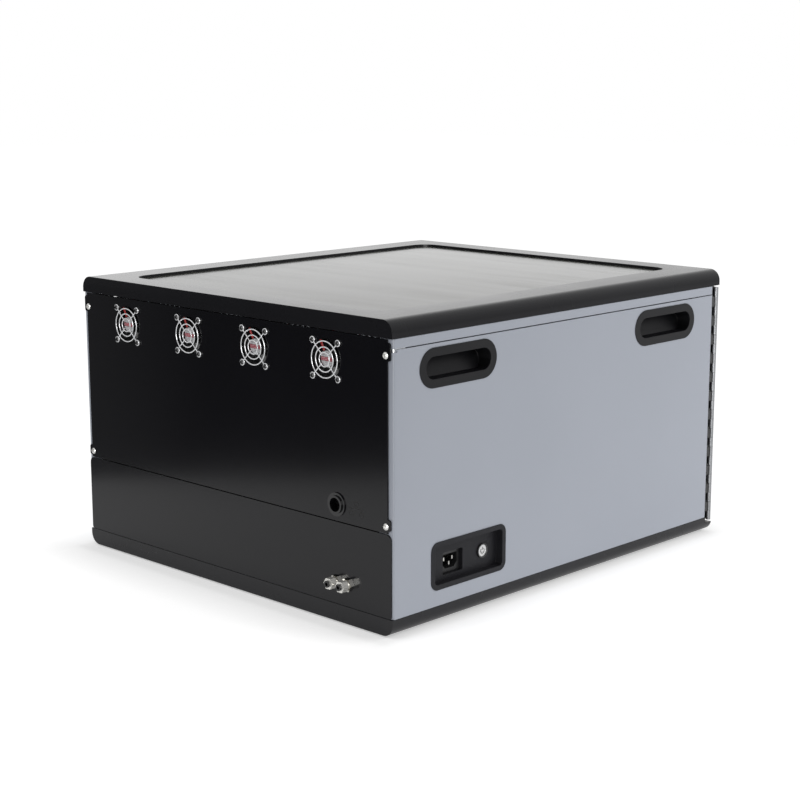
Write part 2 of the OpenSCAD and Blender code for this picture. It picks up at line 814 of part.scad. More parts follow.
module fan_rotor(s, depth) {
    tip_r = s / 2 - fan_wall - tip_gap;
    hub_z = hub_t + rotor_gap;
    r = blade_camber_r;
    z0 = r * sin(blade_a0);
    z1 = r * sin(blade_a1);
    y = -r * (cos(blade_a0) + cos(blade_a1)) / 2;
    z = (depth - 1 + hub_z - z0 - z1) / 2;
    translate([0, 0, hub_z]) cylinder(d = fan_hub_d, h = depth - hub_z - 1);
    translate([0, 0, hub_t / 2]) cylinder(d = shaft_d, h = hub_z);
    intersection() {
        cylinder(r = tip_r, h = depth);
        for (k = [0 : blades - 1]) rotate(k * 360 / blades)
            translate([0, y, z])
                slab_x(fan_hub_d / 2 - 1, tip_r + 1) intersection() {
                    difference() {
                        circle(r);
                        circle(r - blade_t);
                    }
                    rect(0, r, z0, z1);
                }
    }
}
module at_fan(i) translate([fan_x(i), skin_y, fan_cz]) rotate([90, 0, 0]) children();
module fan_frames() color([0.06, 0.06, 0.07])
    for (i = [0 : 3]) at_fan(i) fan_body(fan_s, fan_t, fan_screw_pitch);
module fan_impeller(i) color([0.07, 0.07, 0.08]) at_fan(i) fan_rotor(fan_s, fan_t);
module fan_impeller_1() fan_impeller(0);
module fan_impeller_2() fan_impeller(1);
module fan_impeller_3() fan_impeller(2);
module fan_impeller_4() fan_impeller(3);

// Wire guards: three rings on four spokes that end in eyes for the fan screws
module ring_of_wire(r) rotate_extrude() translate([r, 0]) circle(wire_d / 2, $fn = 24);
module wire_guard() {
    eye_c = fan_screw_pitch / sqrt(2);
    for (r = ring_r) translate([0, 0, wire_d * ring_lift]) ring_of_wire(r);
    for (k = [0 : 3]) rotate(45 + 90 * k) {
        translate([ring_r[2] - wire_d, 0, 0]) rotate([0, 90, 0])
            cylinder(d = wire_d, h = eye_c - eye_r - ring_r[2] + wire_d, $fn = 24);
        translate([eye_c, 0, 0]) ring_of_wire(eye_r);
    }
}
module fan_guards() color([0.86, 0.87, 0.88])
    for (i = [0 : 3]) translate([fan_x(i), wire_y, fan_cz]) rotate([-90, 0, 0]) wire_guard();
module at_guard_screws() for (i = [0 : 3]) translate([fan_x(i), back_y, fan_cz])
    at_fan_screws() rotate([-90, 0, 0]) children();
module guard_screws() color([0.1, 0.1, 0.1]) at_guard_screws() {
    translate([0, 0, -sheet_t - 8]) cylinder(d = fan_screw_d, h = sheet_t + 8 + guard_stand + wire_d);
    translate([0, 0, guard_stand + wire_d - head_sink]) difference() {
        dome(fan_screw_head_d, fan_screw_head_h);
        translate([0, 0, fan_screw_head_h - 1]) cylinder(d = 2 / cos(30), h = 2, $fn = 6);
    }
}
module guard_spacers() color([0.75, 0.76, 0.77]) at_guard_screws() difference() {
    cylinder(d = 2 * eye_r, h = guard_stand);
    translate([0, 0, -cut]) cylinder(d = fan_screw_d, h = guard_stand + 2 * cut);
}
// A lead is drawn as it is laid, in straight runs and quarter turns
module lead_run(l) {
    cylinder(d = lead_d, h = l, $fn = 24);
    translate([0, 0, l]) children();
}
module lead_bend(turn) rotate(turn) {
    translate([bend_r, 0, 0]) rotate([90, 0, 0]) rotate(90)
        rotate_extrude(angle = 90) translate([bend_r, 0]) circle(d = lead_d, $fn = 24);
    translate([bend_r, 0, bend_r]) rotate([0, 90, 0]) children();
}
// Twin leads from each hub, over the rim of the fan and down the chamber's back to the board
module fan_leads() color([0.75, 0.08, 0.06]) for (i = [0 : 3], s = [-1, 1]) {
    ux = cos(lead_turn);
    uz = sin(lead_turn);
    side = i < 2 ? 1 : -1;
    level = i == 0 || i == 3 ? -lead_level : lead_level;
    shift = s * lead_pitch / 2;
    rise = fan_s / 2 + bend_r;
    x1 = fan_x(i) + (rise * ux - shift) / uz;
    y1 = skin_y - lead_d / 2;
    y2 = chamber_back_y + lead_d / 2;
    z2 = fan_board_z + level + side * shift;
    translate([fan_x(i) - shift * uz, y1, fan_cz + shift * ux]) rotate([0, 90 - lead_turn, 0])
        translate([0, 0, fan_hub_d / 2])
            lead_run((rise - shift * ux) / uz - fan_hub_d / 2 - bend_r)
                lead_bend(-90) lead_run(y1 - y2 - 2 * bend_r)
                    lead_bend(90 - lead_turn) lead_run(fan_cz + rise - z2 - 2 * bend_r)
                        lead_bend(-90 * side) lead_run(abs(x1) - bend_r - fan_board_w / 3) {}
}
module fan_board() color([0.1, 0.3, 0.16]) translate([0, chamber_back_y, fan_board_z]) {
    slab_y(standoff_h, standoff_h + pcb_t) square([fan_board_w, fan_board_h], center = true);
    for (sx = [-1, 1], sz = [-1, 1])
        rod_y(sx * (fan_board_w / 2 - 5), sz * (fan_board_h / 2 - 5), standoff_d / 2, 0, standoff_h);
    for (k = [0 : 3]) translate([(k - 1.5) * plug_pitch, 0, 0])
        block([-plug_w / 2, plug_w / 2], [standoff_h + pcb_t, standoff_h + pcb_t + plug_h], [2, 10]);
}

// Ports
module cable_bushing() color([0.05, 0.05, 0.06]) translate([bush_x, 0, bush_z]) difference() {
    union() {
        rod_y(0, 0, bushing_flange_d / 2, back_y, back_y + bush_flange_t);
        rod_y(0, 0, bushing_bore / 2 + bush_wall, skin_y - bush_tail, back_y + bushing_reach);
        rod_y(0, 0, bushing_bore / 2 + bush_wall + 2, skin_y - bush_tail, skin_y);
    }
    rod_y(0, 0, bushing_bore / 2, skin_y - bush_tail - cut, back_y + bushing_reach + cut);
}
module tube_fittings() color([0.78, 0.77, 0.74]) for (i = [0, 1]) translate([fit_x(i), 0, fit_z])
    difference() {
        union() {
            rod_y(0, 0, thread_d / 2, fit_tail_y, hex_y0 + cut);
            hex_y(0, 0, hex_af, hex_y0, hex_y1);
        }
        rod_y(0, 0, collet_body_d / 2 + play, hex_y1 - collet_l - collet_travel, hex_y1 + cut);
        rod_y(0, 0, port_d / 2, back_y - port_end, hex_y1);
        rod_y(0, 0, stop_d / 2, fit_tail_y, hex_y1);
        rod_y(0, 0, tube_d / 2, fit_tail_y - cut, tube_end_y);
    }
module fitting_nuts() color([0.7, 0.69, 0.66]) for (i = [0, 1]) translate([fit_x(i), 0, fit_z])
    difference() {
        union() {
            hex_y(0, 0, nut_af, back_y, back_y + bulkhead_nut);
            hex_y(0, 0, nut_af, skin_y - inner_nut_t, skin_y);
        }
        rod_y(0, 0, thread_d / 2, skin_y - inner_nut_t - cut, back_y + bulkhead_nut + cut);
    }
module collet(i) color([0.06, 0.06, 0.07]) translate([fit_x(i), 0, fit_z]) difference() {
    union() {
        rod_y(0, 0, collet_body_d / 2, hex_y1 - collet_l, hex_y1 + collet_gap + cut);
        rod_y(0, 0, collet_d / 2, hex_y1 + collet_gap, hex_y1 + collet_gap + collet_flange);
    }
    rod_y(0, 0, port_d / 2, hex_y1 - collet_l - cut, hex_y1 + collet_gap + collet_flange + cut);
}
module collet_1() collet(0);
module collet_2() collet(1);
module tube_ring() difference() {
    circle(d = tube_d);
    circle(d = tube_bore);
}
module guide_tubes() color([0.93, 0.93, 0.9]) for (i = [0, 1]) translate([fit_x(i), 0, 0]) {
    bend_z = fit_z + tube_bend_r;
    translate([0, tube_top_y, 0]) slab_z(bend_z, deck_top + liner_t) tube_ring();
    translate([0, tube_top_y + tube_bend_r, bend_z]) rotate([180, 90, 0])
        rotate_extrude(angle = 90) translate([tube_bend_r, 0]) tube_ring();
    translate([0, 0, fit_z]) slab_y(tube_top_y + tube_bend_r, tube_end_y) tube_ring();
}
module filament_inlets() color([0.1, 0.1, 0.11]) for (i = [0, 1])
    translate([fit_x(i), tube_top_y, deck_top]) difference() {
        cylinder(d1 = inlet_cone_d, d2 = inlet_cone_d - 6, h = inlet_cone_h);
        translate([0, 0, -cut]) cylinder(d = tube_d, h = liner_t + cut);
        translate([0, 0, -cut]) cylinder(d = tube_bore, h = inlet_cone_h + cut);
        translate([0, 0, liner_t + 1])
            cylinder(d1 = tube_bore, d2 = inlet_mouth_d, h = inlet_cone_h - liner_t - 1);
    }

// Recessed handles: a mouth with a flat band and a floor that slopes inwards to the top
module cup_section(grow) {
    h = mouth_tall / 2 + grow;
    low = handle_low_depth + grow;
    high = handle_top_depth + grow;
    polygon([[-rim_proud - cut, -h], [low, -h], [high, h], [-rim_proud - cut, h]]);
}
module cup_solid(grow) intersection() {
    slab_x(-rim_proud - cut, handle_top_depth + grow + 1)
        stadium(mouth_w + 2 * grow, mouth_tall + 2 * grow);
    slab_y(-mouth_w, mouth_w) cup_section(grow);
}
module handle_cup(sx, i) color([0.14, 0.14, 0.16]) mirror([sx > 0 ? 1 : 0, 0, 0])
    translate([-side_x, handle_y[i], handle_cz]) difference() {
        union() {
            slab_x(-rim_proud, 0) stadium(handle_w, handle_h);
            intersection() {
                cup_solid(cup_t);
                block([-rim_proud, 2 * handle_top_depth], [-handle_w, handle_w], [-handle_h, handle_h]);
            }
        }
        cup_solid(0);
    }
module handle_cup_1() handle_cup(-1, 0);
module handle_cup_2() handle_cup(-1, 1);
module handle_cup_3() handle_cup(1, 0);
module handle_cup_4() handle_cup(1, 1);

// Power recess with mains socket and button
module power_recess() color([0.1, 0.1, 0.11]) difference() {
    union() {
        slab_x(-side_x - rim_proud, -side_x)
            translate([inlet_cy, inlet_cz]) round_rect(inlet_w, inlet_h, inlet_r);
        slab_x(-side_x - rim_proud / 2, inlet_floor_x + cup_t) translate([inlet_cy, inlet_cz])
            round_rect(pocket_w + 2 * cup_t, pocket_h + 2 * cup_t, pocket_r + cup_t);
        slab_x(inlet_floor_x, socket_x) translate([socket_cy, socket_cz])
            round_rect(socket_w + 2 * cup_t, socket_h + 2 * cup_t, cup_t);
        rod_x(button_cy, button_cz, button_d / 2 + cup_t, inlet_floor_x, inlet_floor_x + button_l);
    }
    slab_x(-side_x - rim_proud - cut, inlet_floor_x)
        translate([inlet_cy, inlet_cz]) round_rect(pocket_w, pocket_h, pocket_r);
    slab_x(inlet_floor_x - cut, socket_x + cut) translate([socket_cy, socket_cz])
        round_rect(socket_w, socket_h, socket_r);
    rod_x(button_cy, button_cz, button_d / 2 + play, inlet_floor_x - cut, button_x1 + button_travel + play);
}
module socket_outline() {
    w = socket_mouth_w / 2;
    h = socket_mouth_h / 2;
    c = socket_chamfer;
    polygon([[-w, h], [-w, c - h], [c - w, -h], [w - c, -h], [w, c - h], [w, h]]);
}
module mains_socket() color([0.04, 0.04, 0.05]) difference() {
    union() {
        slab_x(socket_x - 1, socket_x + cut) translate([socket_cy, socket_cz])
            round_rect(socket_w - 2 * seat, socket_h - 2 * seat, socket_r);
        slab_x(socket_x, socket_x + socket_body_l) translate([socket_cy, socket_cz])
            round_rect(socket_w + 2 * cup_t, socket_h + 2 * cup_t, cup_t);
    }
    slab_x(socket_x - 1 - cut, socket_x + socket_mouth_l)
        translate([socket_cy, socket_cz]) socket_outline();
}
module mains_pins() color([0.8, 0.78, 0.7]) translate([socket_x, socket_cy, socket_cz]) {
    for (s = [-1, 1]) translate([0, s * pin_pitch / 2, 0])
        block([live_set, socket_mouth_l], [-pin_t / 2, pin_t / 2], [0, pin_h]);
    block([earth_set, socket_mouth_l], [-pin_t / 2, pin_t / 2], [-pin_h - 1, -1]);
}
module button_bezel() color([0.05, 0.05, 0.06]) difference() {
    rod_x(button_cy, button_cz, bezel_d / 2, inlet_floor_x - bezel_t, inlet_floor_x);
    rod_x(button_cy, button_cz, button_d / 2 + play, inlet_floor_x - bezel_t - cut, inlet_floor_x + cut);
}
module power_button() color([0.8, 0.8, 0.82])
    rod_x(button_cy, button_cz, button_d / 2, inlet_floor_x - button_proud, button_x1);

// Piano hinge down the left front edge; the end knuckles belong to the door
function knuckle_z(k) = [k * knuckle_l + knuckle_gap / 2, (k + 1) * knuckle_l - knuckle_gap / 2];
module knuckles(first, x, y) for (k = [first : 2 : knuckle_n - 1]) translate([0, 0, hinge_z0]) {
    z = knuckle_z(k);
    translate([hinge_x, hinge_y, z[0]]) cylinder(r = knuckle_r, h = z[1] - z[0]);
    block(x, y, z);
}
module hinge_bore(d) translate([hinge_x, hinge_y, hinge_z0 - cut])
    cylinder(d = d, h = hinge_z1 - hinge_z0 + 2 * cut);
module hinge_leaf_frame() color([0.66, 0.67, 0.69]) difference() {
    union() {
        knuckles(1, [-inner_x, front_x0], [hinge_y, frame_y]);
        block([-inner_x, front_x0], [frame_y - leaf_notch, frame_leaf_y1], [base_top, post_top]);
    }
    hinge_bore(pin_d);
}
module hinge_leaf_door() color([0.66, 0.67, 0.69]) difference() {
    union() {
        knuckles(0, [hinge_x, hinge_x + knuckle_r + 2 * hinge_clear], [front_y, front_y + leaf_t]);
        block([hinge_x + knuckle_r + hinge_clear, door_leaf_x1], [front_y, front_y + leaf_t],
            [hinge_z0, hinge_z1]);
    }
    hinge_bore(pin_d + 2 * play);
}
module hinge_pin() color([0.75, 0.76, 0.78])
    translate([hinge_x, hinge_y, hinge_z0]) cylinder(d = pin_d, h = hinge_z1 - hinge_z0);

// Door
module door_frame() color([0.12, 0.12, 0.13]) difference() {
    slab_y(front_y, door_back_y) round_span(door_x0, door_x1, door_z0, door_z1, door_r);
    slab_y(front_y - cut, door_back_y + cut) {
        round_span(pane_x0, pane_x1, pane_z0, pane_z1, pane_r);
        translate([0, display_z])
            round_rect(display_w + 2 * display_edge, display_h + 2 * display_edge, pane_r);
    }
    slab_y(front_y + pane_set, door_back_y + cut)
        round_span(pane_x0 - pane_ledge, pane_x1 + pane_ledge, pane_z0 - pane_ledge,
            pane_z1 + pane_ledge, pane_r + pane_ledge);
    block([door_x0 - cut, door_leaf_x1], [front_y - cut, front_y + leaf_t], [hinge_z0, hinge_z1]);
    slab_y(front_y - cut, front_y + pull_depth)
        translate([pull_x, pull_z]) rotate(90) stadium(pull_h, pull_w);
}
module door_window() color([0.25, 0.27, 0.3, 0.5])
    slab_y(front_y + pane_set, front_y + pane_set + pane_t)
        round_span(pane_x0 - pane_ledge, pane_x1 + pane_ledge, pane_z0 - pane_ledge,
            pane_z1 + pane_ledge, pane_r + pane_ledge);
module seal_outline(grow)
    round_span(-chamber_x - grow, chamber_x + grow, mouth_z0 - grow, mouth_z1 + grow, mouth_r + grow);
module door_seal() color([0.05, 0.05, 0.05]) slab_y(door_back_y, frame_y - seat) difference() {
    seal_outline(seal_gap + seal_w);
    seal_outline(seal_gap);
}
module door_magnets() color([0.7, 0.7, 0.72]) for (z = [door_z0 + magnet_z, door_z1 - magnet_z])
    rod_y(magnet_x, z, magnet_d / 2, door_back_y, frame_y - seat);

// Spool rollers
module roller(y) color([0.72, 0.73, 0.75]) {
    rod_x(y, roller_cz, roller_d / 2, roller_end - bracket_x, bracket_x - roller_end);
    rod_x(y, roller_cz, stub_d / 2, roller_end / 2 - chamber_x, chamber_x - roller_end / 2);
}
function roller_y(i) = cradle_y[floor(i / 2)] + roller_span * (i % 2 - 0.5);
module roller_1() roller(roller_y(0));
module roller_2() roller(roller_y(1));
module roller_3() roller(roller_y(2));
module roller_4() roller(roller_y(3));
module roller_brackets() color([0.1, 0.1, 0.11]) for (c = [0, 1]) copy_x() difference() {
    slab_x(-chamber_x, -bracket_x) translate([cradle_y[c], deck_top]) {
        for (s = [-1, 1]) translate([s * roller_span / 2, roller_z]) circle(bracket_h - roller_z);
        for (s = [-1, 1]) rect(s * roller_span / 2 - bracket_h + roller_z,
            s * roller_span / 2 + bracket_h - roller_z, 0, roller_z);
        rect(-roller_span / 2, roller_span / 2, 0, roller_z / 2);
    }
    for (i = [2 * c, 2 * c + 1])
        rod_x(roller_y(i), roller_cz, stub_d / 2 + play, -chamber_x - cut, cut - bracket_x);
}

// Heater: sheet box with a finned core, blown through by the fan on top
module heater_unit() color([0.7, 0.71, 0.72]) {
    x = heater_w / 2;
    t = heater_sheet;
    difference() {
        block([-x, x], [heater_y0, heater_y1], [deck_top, heater_z1]);
        block([t - x, x - t], [heater_y0 + t, heater_y1 - t], [deck_top + t, heater_z1 - t]);
        translate([0, (heater_y0 + heater_y1) / 2, heater_z1 - t - cut])
            cylinder(d = blower_s - 2 * fan_wall, h = t + 2 * cut);
        for (k = [0 : 3]) slab_y(heater_y0 - cut, heater_y0 + t + cut)
            translate([0, deck_top + slot_z + 2 * slot_h * k]) stadium(heater_w - 2 * heater_edge, slot_h);
    }
    for (k = [0 : fin_n - 1]) {
        fx = (k - (fin_n - 1) / 2) * (heater_w - 2 * heater_edge) / (fin_n - 1);
        block([fx - fin_t / 2, fx + fin_t / 2], [heater_y0 + 12, heater_y1 - t + cut / 2],
            [deck_top + t - cut / 2, deck_top + heater_h / 2]);
    }
    translate([0, (heater_y0 + heater_y1) / 2, heater_z1]) fan_body(blower_s, blower_t, blower_s - 10);
}
module heater_impeller() color([0.07, 0.07, 0.08])
    translate([0, (heater_y0 + heater_y1) / 2, heater_z1]) fan_rotor(blower_s, blower_t);

// Electronics in the bay under the chamber
module power_supply() color([0.74, 0.75, 0.76]) {
    x0 = supply_x + terminal_l;
    x1 = supply_x + supply_w;
    y0 = supply_y - supply_d / 2;
    y1 = supply_y + supply_d / 2;
    t = supply_sheet;
    difference() {
        block([supply_x, x1], [y0, y1], [base_top, base_top + supply_h]);
        block([x0, x1 - t], [y0 + t, y1 - t], [base_top + t, base_top + supply_h - t]);
        block([supply_x - cut, x0], [y0 + t, y1 - t], [base_top + terminal_z, base_top + supply_h + cut]);
        slab_z(base_top + supply_h - t - cut, base_top + supply_h + cut)
            translate([(x0 + x1) / 2, supply_y])
                vent_field(lid_vents, supply_d - 2 * lid_vent_edge, lid_vent_w, lid_vent_pitch);
    }
}
module control_board() color([0.1, 0.3, 0.16]) translate([board_x, board_y, base_top]) {
    for (sx = [-1, 1], sy = [-1, 1]) translate([sx * (board_w / 2 - 6), sy * (board_d / 2 - 6), 0])
        cylinder(d = standoff_d, h = standoff_h + cut);
    translate([0, 0, standoff_h]) linear_extrude(pcb_t) round_rect(board_w, board_d, 2);
    translate([0, 0, standoff_h + pcb_t]) {
        block([-chip_s / 2, chip_s / 2], [-chip_s / 2, chip_s / 2], [0, chip_t]);
        for (k = [-2 : 2]) block([k * jack_pitch - jack_w / 2, k * jack_pitch + jack_w / 2],
            [board_d / 2 - board_edge - jack_l, board_d / 2 - board_edge], [0, jack_t]);
        for (k = [-1 : 1]) translate([k * can_pitch, board_edge + can_d - board_d / 2, 0])
            cylinder(d = can_d, h = can_h);
    }
}

base_tray();
rubber_feet();
base_plate();
top_cover();
top_plate();
side_panel_left();
side_panel_right();
top_rails();
corner_posts();
chamber_floor();
chamber_walls();
chamber_back();
chamber_ceiling();
front_frame();
display_module();
rear_panel_upper();
rear_panel_lower();
rear_screws();
fan_frames();
fan_impeller_1();
fan_impeller_2();
fan_impeller_3();
fan_impeller_4();
fan_guards();
guard_screws();
guard_spacers();
fan_leads();
fan_board();
cable_bushing();
tube_fittings();
fitting_nuts();
collet_1();
collet_2();
guide_tubes();
filament_inlets();
handle_cup_1();
handle_cup_2();
handle_cup_3();
handle_cup_4();
power_recess();
mains_socket();
mains_pins();
button_bezel();
power_button();
hinge_leaf_frame();
hinge_leaf_door();
hinge_pin();
door_frame();
door_window();
door_seal();
door_magnets();
roller_1();
roller_2();
roller_3();
roller_4();
roller_brackets();
heater_unit();
heater_impeller();
power_supply();
control_board();
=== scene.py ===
# Heated dryer cabinet for filament spools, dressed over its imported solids.
# Metres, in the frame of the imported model: X right seen from the door, Y to the back, Z up.
import math

import bmesh
import bpy
from mathutils import Matrix, Vector


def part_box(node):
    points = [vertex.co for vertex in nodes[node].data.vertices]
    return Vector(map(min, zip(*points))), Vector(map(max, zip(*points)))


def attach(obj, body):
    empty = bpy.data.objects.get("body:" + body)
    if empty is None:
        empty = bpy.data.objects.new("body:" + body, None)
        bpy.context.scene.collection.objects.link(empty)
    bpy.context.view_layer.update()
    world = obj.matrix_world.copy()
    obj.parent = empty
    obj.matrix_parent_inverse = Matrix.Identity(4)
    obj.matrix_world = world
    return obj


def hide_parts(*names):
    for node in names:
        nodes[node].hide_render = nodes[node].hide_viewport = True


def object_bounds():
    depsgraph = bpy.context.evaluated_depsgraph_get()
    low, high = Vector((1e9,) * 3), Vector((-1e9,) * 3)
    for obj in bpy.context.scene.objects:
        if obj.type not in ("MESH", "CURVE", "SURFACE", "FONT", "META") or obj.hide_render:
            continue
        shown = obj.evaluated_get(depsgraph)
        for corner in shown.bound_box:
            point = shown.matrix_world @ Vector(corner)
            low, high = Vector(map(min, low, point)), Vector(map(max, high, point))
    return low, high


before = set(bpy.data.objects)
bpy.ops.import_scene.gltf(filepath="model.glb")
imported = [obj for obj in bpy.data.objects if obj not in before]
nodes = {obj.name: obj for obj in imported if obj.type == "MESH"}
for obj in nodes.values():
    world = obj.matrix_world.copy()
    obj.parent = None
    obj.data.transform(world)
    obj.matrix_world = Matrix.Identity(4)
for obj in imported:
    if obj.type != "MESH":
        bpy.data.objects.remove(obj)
solids_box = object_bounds()


# ---------------------------------------------------------------- Camera
# A long lens a little above the top, off the rear left corner, so that the back, the
# left side and the top all show and upright edges stay almost parallel.
def in_scene(name, data):
    """A new object in the scene for that mesh, lens or lamp."""
    made = bpy.data.objects.new(name, data)
    bpy.context.scene.collection.objects.link(made)
    return made


def facing(place, target):
    """The turn and place of a camera or lamp at that place that looks at the target."""
    turn = (target - place).to_track_quat("-Z", "Y").to_matrix().to_4x4()
    return Matrix.Translation(place) @ turn


eye = Vector((-1.5200, 1.57235, 0.6234))
aim = Vector((0.0338, -0.03245, 0.1770))
roll = Matrix.Rotation(math.radians(-0.0488), 4, "Z")
long_lens = bpy.data.cameras.new("long_lens")
long_lens.sensor_width = 36
long_lens.lens = 77.27
long_lens.clip_start = 0.05
long_lens.clip_end = 50
camera = in_scene("camera", long_lens)
camera.matrix_world = facing(eye, aim) @ roll
bpy.context.scene.camera = camera


# ---------------------------------------------------------------- Studio
# A white floor with no edge, a big soft lamp at the left front, a weaker one behind, and
# two cards that only mirrors see. The surroundings are white to the camera and in
# reflections, and dimmer to matt surfaces, so that the coats keep their own colours.
def combined(tree, node_type, operation, *values):
    """What a math or vector math node makes of those sockets and numbers."""
    made = tree.nodes.new(node_type)
    made.operation = operation
    for pin, value in zip(made.inputs, values):
        if isinstance(value, bpy.types.NodeSocket):
            tree.links.new(value, pin)
        else:
            pin.default_value = value
    return made.outputs[-1 if operation in ("LENGTH", "DOT_PRODUCT") else 0]


def along(tree, direction):
    """How far a point lies along a direction, on Object coordinates."""
    spot = tree.nodes.new("ShaderNodeTexCoord").outputs["Object"]
    return combined(tree, "ShaderNodeVectorMath", "DOT_PRODUCT", spot, direction)


def spread(tree, value, low, high, to_low, to_high):
    """Stretches low..high of a value over to_low..to_high. The last two may be sockets."""
    made = tree.nodes.new("ShaderNodeMapRange")
    tree.links.new(value, made.inputs["Value"])
    made.inputs["From Min"].default_value = low
    made.inputs["From Max"].default_value = high
    for name, end in (("To Min", to_low), ("To Max", to_high)):
        if isinstance(end, (int, float)):
            made.inputs[name].default_value = end
        else:
            tree.links.new(end, made.inputs[name])
    return made.outputs["Result"]


def seen_directly(tree):
    """A factor of 1 for camera, glossy and transmission rays, and 0 for all others."""
    path = tree.nodes.new("ShaderNodeLightPath").outputs
    factor = combined(tree, "ShaderNodeMath", "ADD", path["Is Camera Ray"], path["Is Glossy Ray"])
    factor = combined(tree, "ShaderNodeMath", "ADD", factor, path["Is Transmission Ray"])
    factor.node.use_clamp = True
    return factor


MATT_SKY = 0.45
WHITE = 1.0
sky = bpy.data.worlds.new("white_surroundings")
sky.use_nodes = True
tree = sky.node_tree
tree.nodes.clear()
sky_mix = tree.nodes.new("ShaderNodeMixShader")
tree.links.new(seen_directly(tree), sky_mix.inputs[0])
for slot, strength in ((1, MATT_SKY), (2, WHITE)):
    background = tree.nodes.new("ShaderNodeBackground")
    background.inputs["Color"].default_value = (1, 1, 1, 1)
    background.inputs["Strength"].default_value = strength
    tree.links.new(background.outputs[0], sky_mix.inputs[slot])
tree.links.new(sky_mix.outputs[0], tree.nodes.new("ShaderNodeOutputWorld").inputs["Surface"])
bpy.context.scene.world = sky
bpy.context.scene.view_settings.view_transform = "Standard"

# The floor glows white to the camera, with a painted contact shadow: it glows a little
# less close to the cabinet's sides, and it is dimmer in the coats' reflections. Matt
# surfaces get a weaker light from the part of it that lies near.
CONTACT_SHADE = 0.010
floor_white = bpy.data.materials.new("white_sweep")
floor_white.use_nodes = True
tree = floor_white.node_tree
tree.nodes.clear()
matt_white = tree.nodes.new("ShaderNodeBsdfDiffuse")
matt_white.inputs["Color"].default_value = (0.8, 0.8, 0.8, 1)
spot = tree.nodes.new("ShaderNodeTexCoord").outputs["Object"]
unsigned = combined(tree, "ShaderNodeVectorMath", "ABSOLUTE", spot)
box_corner = (solids_box[1].x, solids_box[1].y, 0)
past_sides = combined(tree, "ShaderNodeVectorMath", "SUBTRACT", unsigned, box_corner)
outside = combined(tree, "ShaderNodeVectorMath", "MAXIMUM", past_sides, (0, 0, 0))
from_box = combined(tree, "ShaderNodeVectorMath", "LENGTH", outside)
# The painted contact shadow: a dimmer glow right next to the cabinet's sides.
painted_contact_shade = spread(tree, from_box, low=0.0, high=CONTACT_SHADE, to_low=0.42, to_high=0.50)
shown = spread(tree, from_box, low=CONTACT_SHADE, high=0.070, to_low=painted_contact_shade, to_high=0.66)
is_glossy = tree.nodes.new("ShaderNodeLightPath").outputs["Is Glossy Ray"]
mirrored = spread(tree, is_glossy, low=0.0, high=1.0, to_low=1.0, to_high=0.76)
glow = tree.nodes.new("ShaderNodeEmission")
tree.links.new(combined(tree, "ShaderNodeMath", "MULTIPLY", shown, mirrored), glow.inputs["Strength"])
from_middle = combined(tree, "ShaderNodeVectorMath", "LENGTH", spot)
nearby = spread(tree, from_middle, low=0.7, high=1.3, to_low=0.66, to_high=0.0)
bounce = tree.nodes.new("ShaderNodeEmission")
tree.links.new(nearby, bounce.inputs["Strength"])
lit = tree.nodes.new("ShaderNodeMixShader")
tree.links.new(seen_directly(tree), lit.inputs[0])
tree.links.new(bounce.outputs[0], lit.inputs[1])
tree.links.new(glow.outputs[0], lit.inputs[2])
both = tree.nodes.new("ShaderNodeAddShader")
tree.links.new(matt_white.outputs[0], both.inputs[0])
tree.links.new(lit.outputs[0], both.inputs[1])
tree.links.new(both.outputs[0], tree.nodes.new("ShaderNodeOutputMaterial").inputs["Surface"])


def flat_panel(name, middle, half_across, half_up):
    """One flat four-sided face round a middle, with its halves given as vectors."""
    corners = [
        middle - half_across - half_up,
        middle + half_across - half_up,
        middle + half_across + half_up,
        middle - half_across + half_up,
    ]
    mesh = bpy.data.meshes.new(name)
    mesh.from_pydata([tuple(corner) for corner in corners], [], [(0, 1, 2, 3)])
    return in_scene(name, mesh)


sweep = flat_panel("sweep", Vector((0, 0, 0)), Vector((9, 0, 0)), Vector((0, 9, 0)))
sweep.data.materials.append(floor_white)


def card(name, middle, half_across, half_up, strength):
    """A card that only reflections see, at a set brightness."""
    card_paint = bpy.data.materials.new(name)
    card_paint.use_nodes = True
    tree = card_paint.node_tree
    tree.nodes.clear()
    shine = tree.nodes.new("ShaderNodeEmission")
    shine.inputs["Strength"].default_value = strength
    tree.links.new(shine.outputs[0], tree.nodes.new("ShaderNodeOutputMaterial").inputs["Surface"])
    made = flat_panel(name, middle, half_across, half_up)
    made.data.materials.append(card_paint)
    made.visible_camera = False
    made.visible_diffuse = False
    made.visible_transmission = False
    made.visible_volume_scatter = False
    made.visible_shadow = False
    return made


# The dark flag stands where the back panels mirror the room, so that their half-gloss
# coat looks deep, and it gets lighter towards the panels' far end.
FLAG_HALF = 1.6
FLAG_DARK = 0.05
FLAG_LIGHT = 0.18
flag_run = Vector((0.718, -0.696, 0))
foot = Vector((0.529, 0.546, 0))
flag_rise = Vector((0, 0, 0.25))
flag = card("flag", foot - flag_run + flag_rise, FLAG_HALF * flag_run, flag_rise, FLAG_DARK)
tree = flag.data.materials[0].node_tree
foot_along = foot.dot(flag_run)
lift = spread(tree, along(tree, flag_run), foot_along - 0.12, foot_along + 0.05, FLAG_DARK, FLAG_LIGHT)
tree.links.new(lift, tree.nodes["Emission"].inputs["Strength"])

# The bright card behind the camera gives the chrome, the screws and the rims their glints.
CARD_HALF = 0.8
back_off = (eye - aim).normalized()
card_right = back_off.cross(Vector((0, 0, 1))).normalized()
card_up = card_right.cross(back_off)
spark = card("spark", eye + 0.5 * back_off, CARD_HALF * card_right, CARD_HALF * card_up, 9.0)


def soft_lamp(name, place, target, size, watts):
    """A square soft lamp that mirrors don't show."""
    made = bpy.data.lights.new(name, "AREA")
    made.shape = "SQUARE"
    made.size = size
    made.energy = watts
    holder = in_scene(name, made)
    holder.matrix_world = facing(Vector(place), Vector(target))
    holder.visible_glossy = False
    holder.visible_camera = False


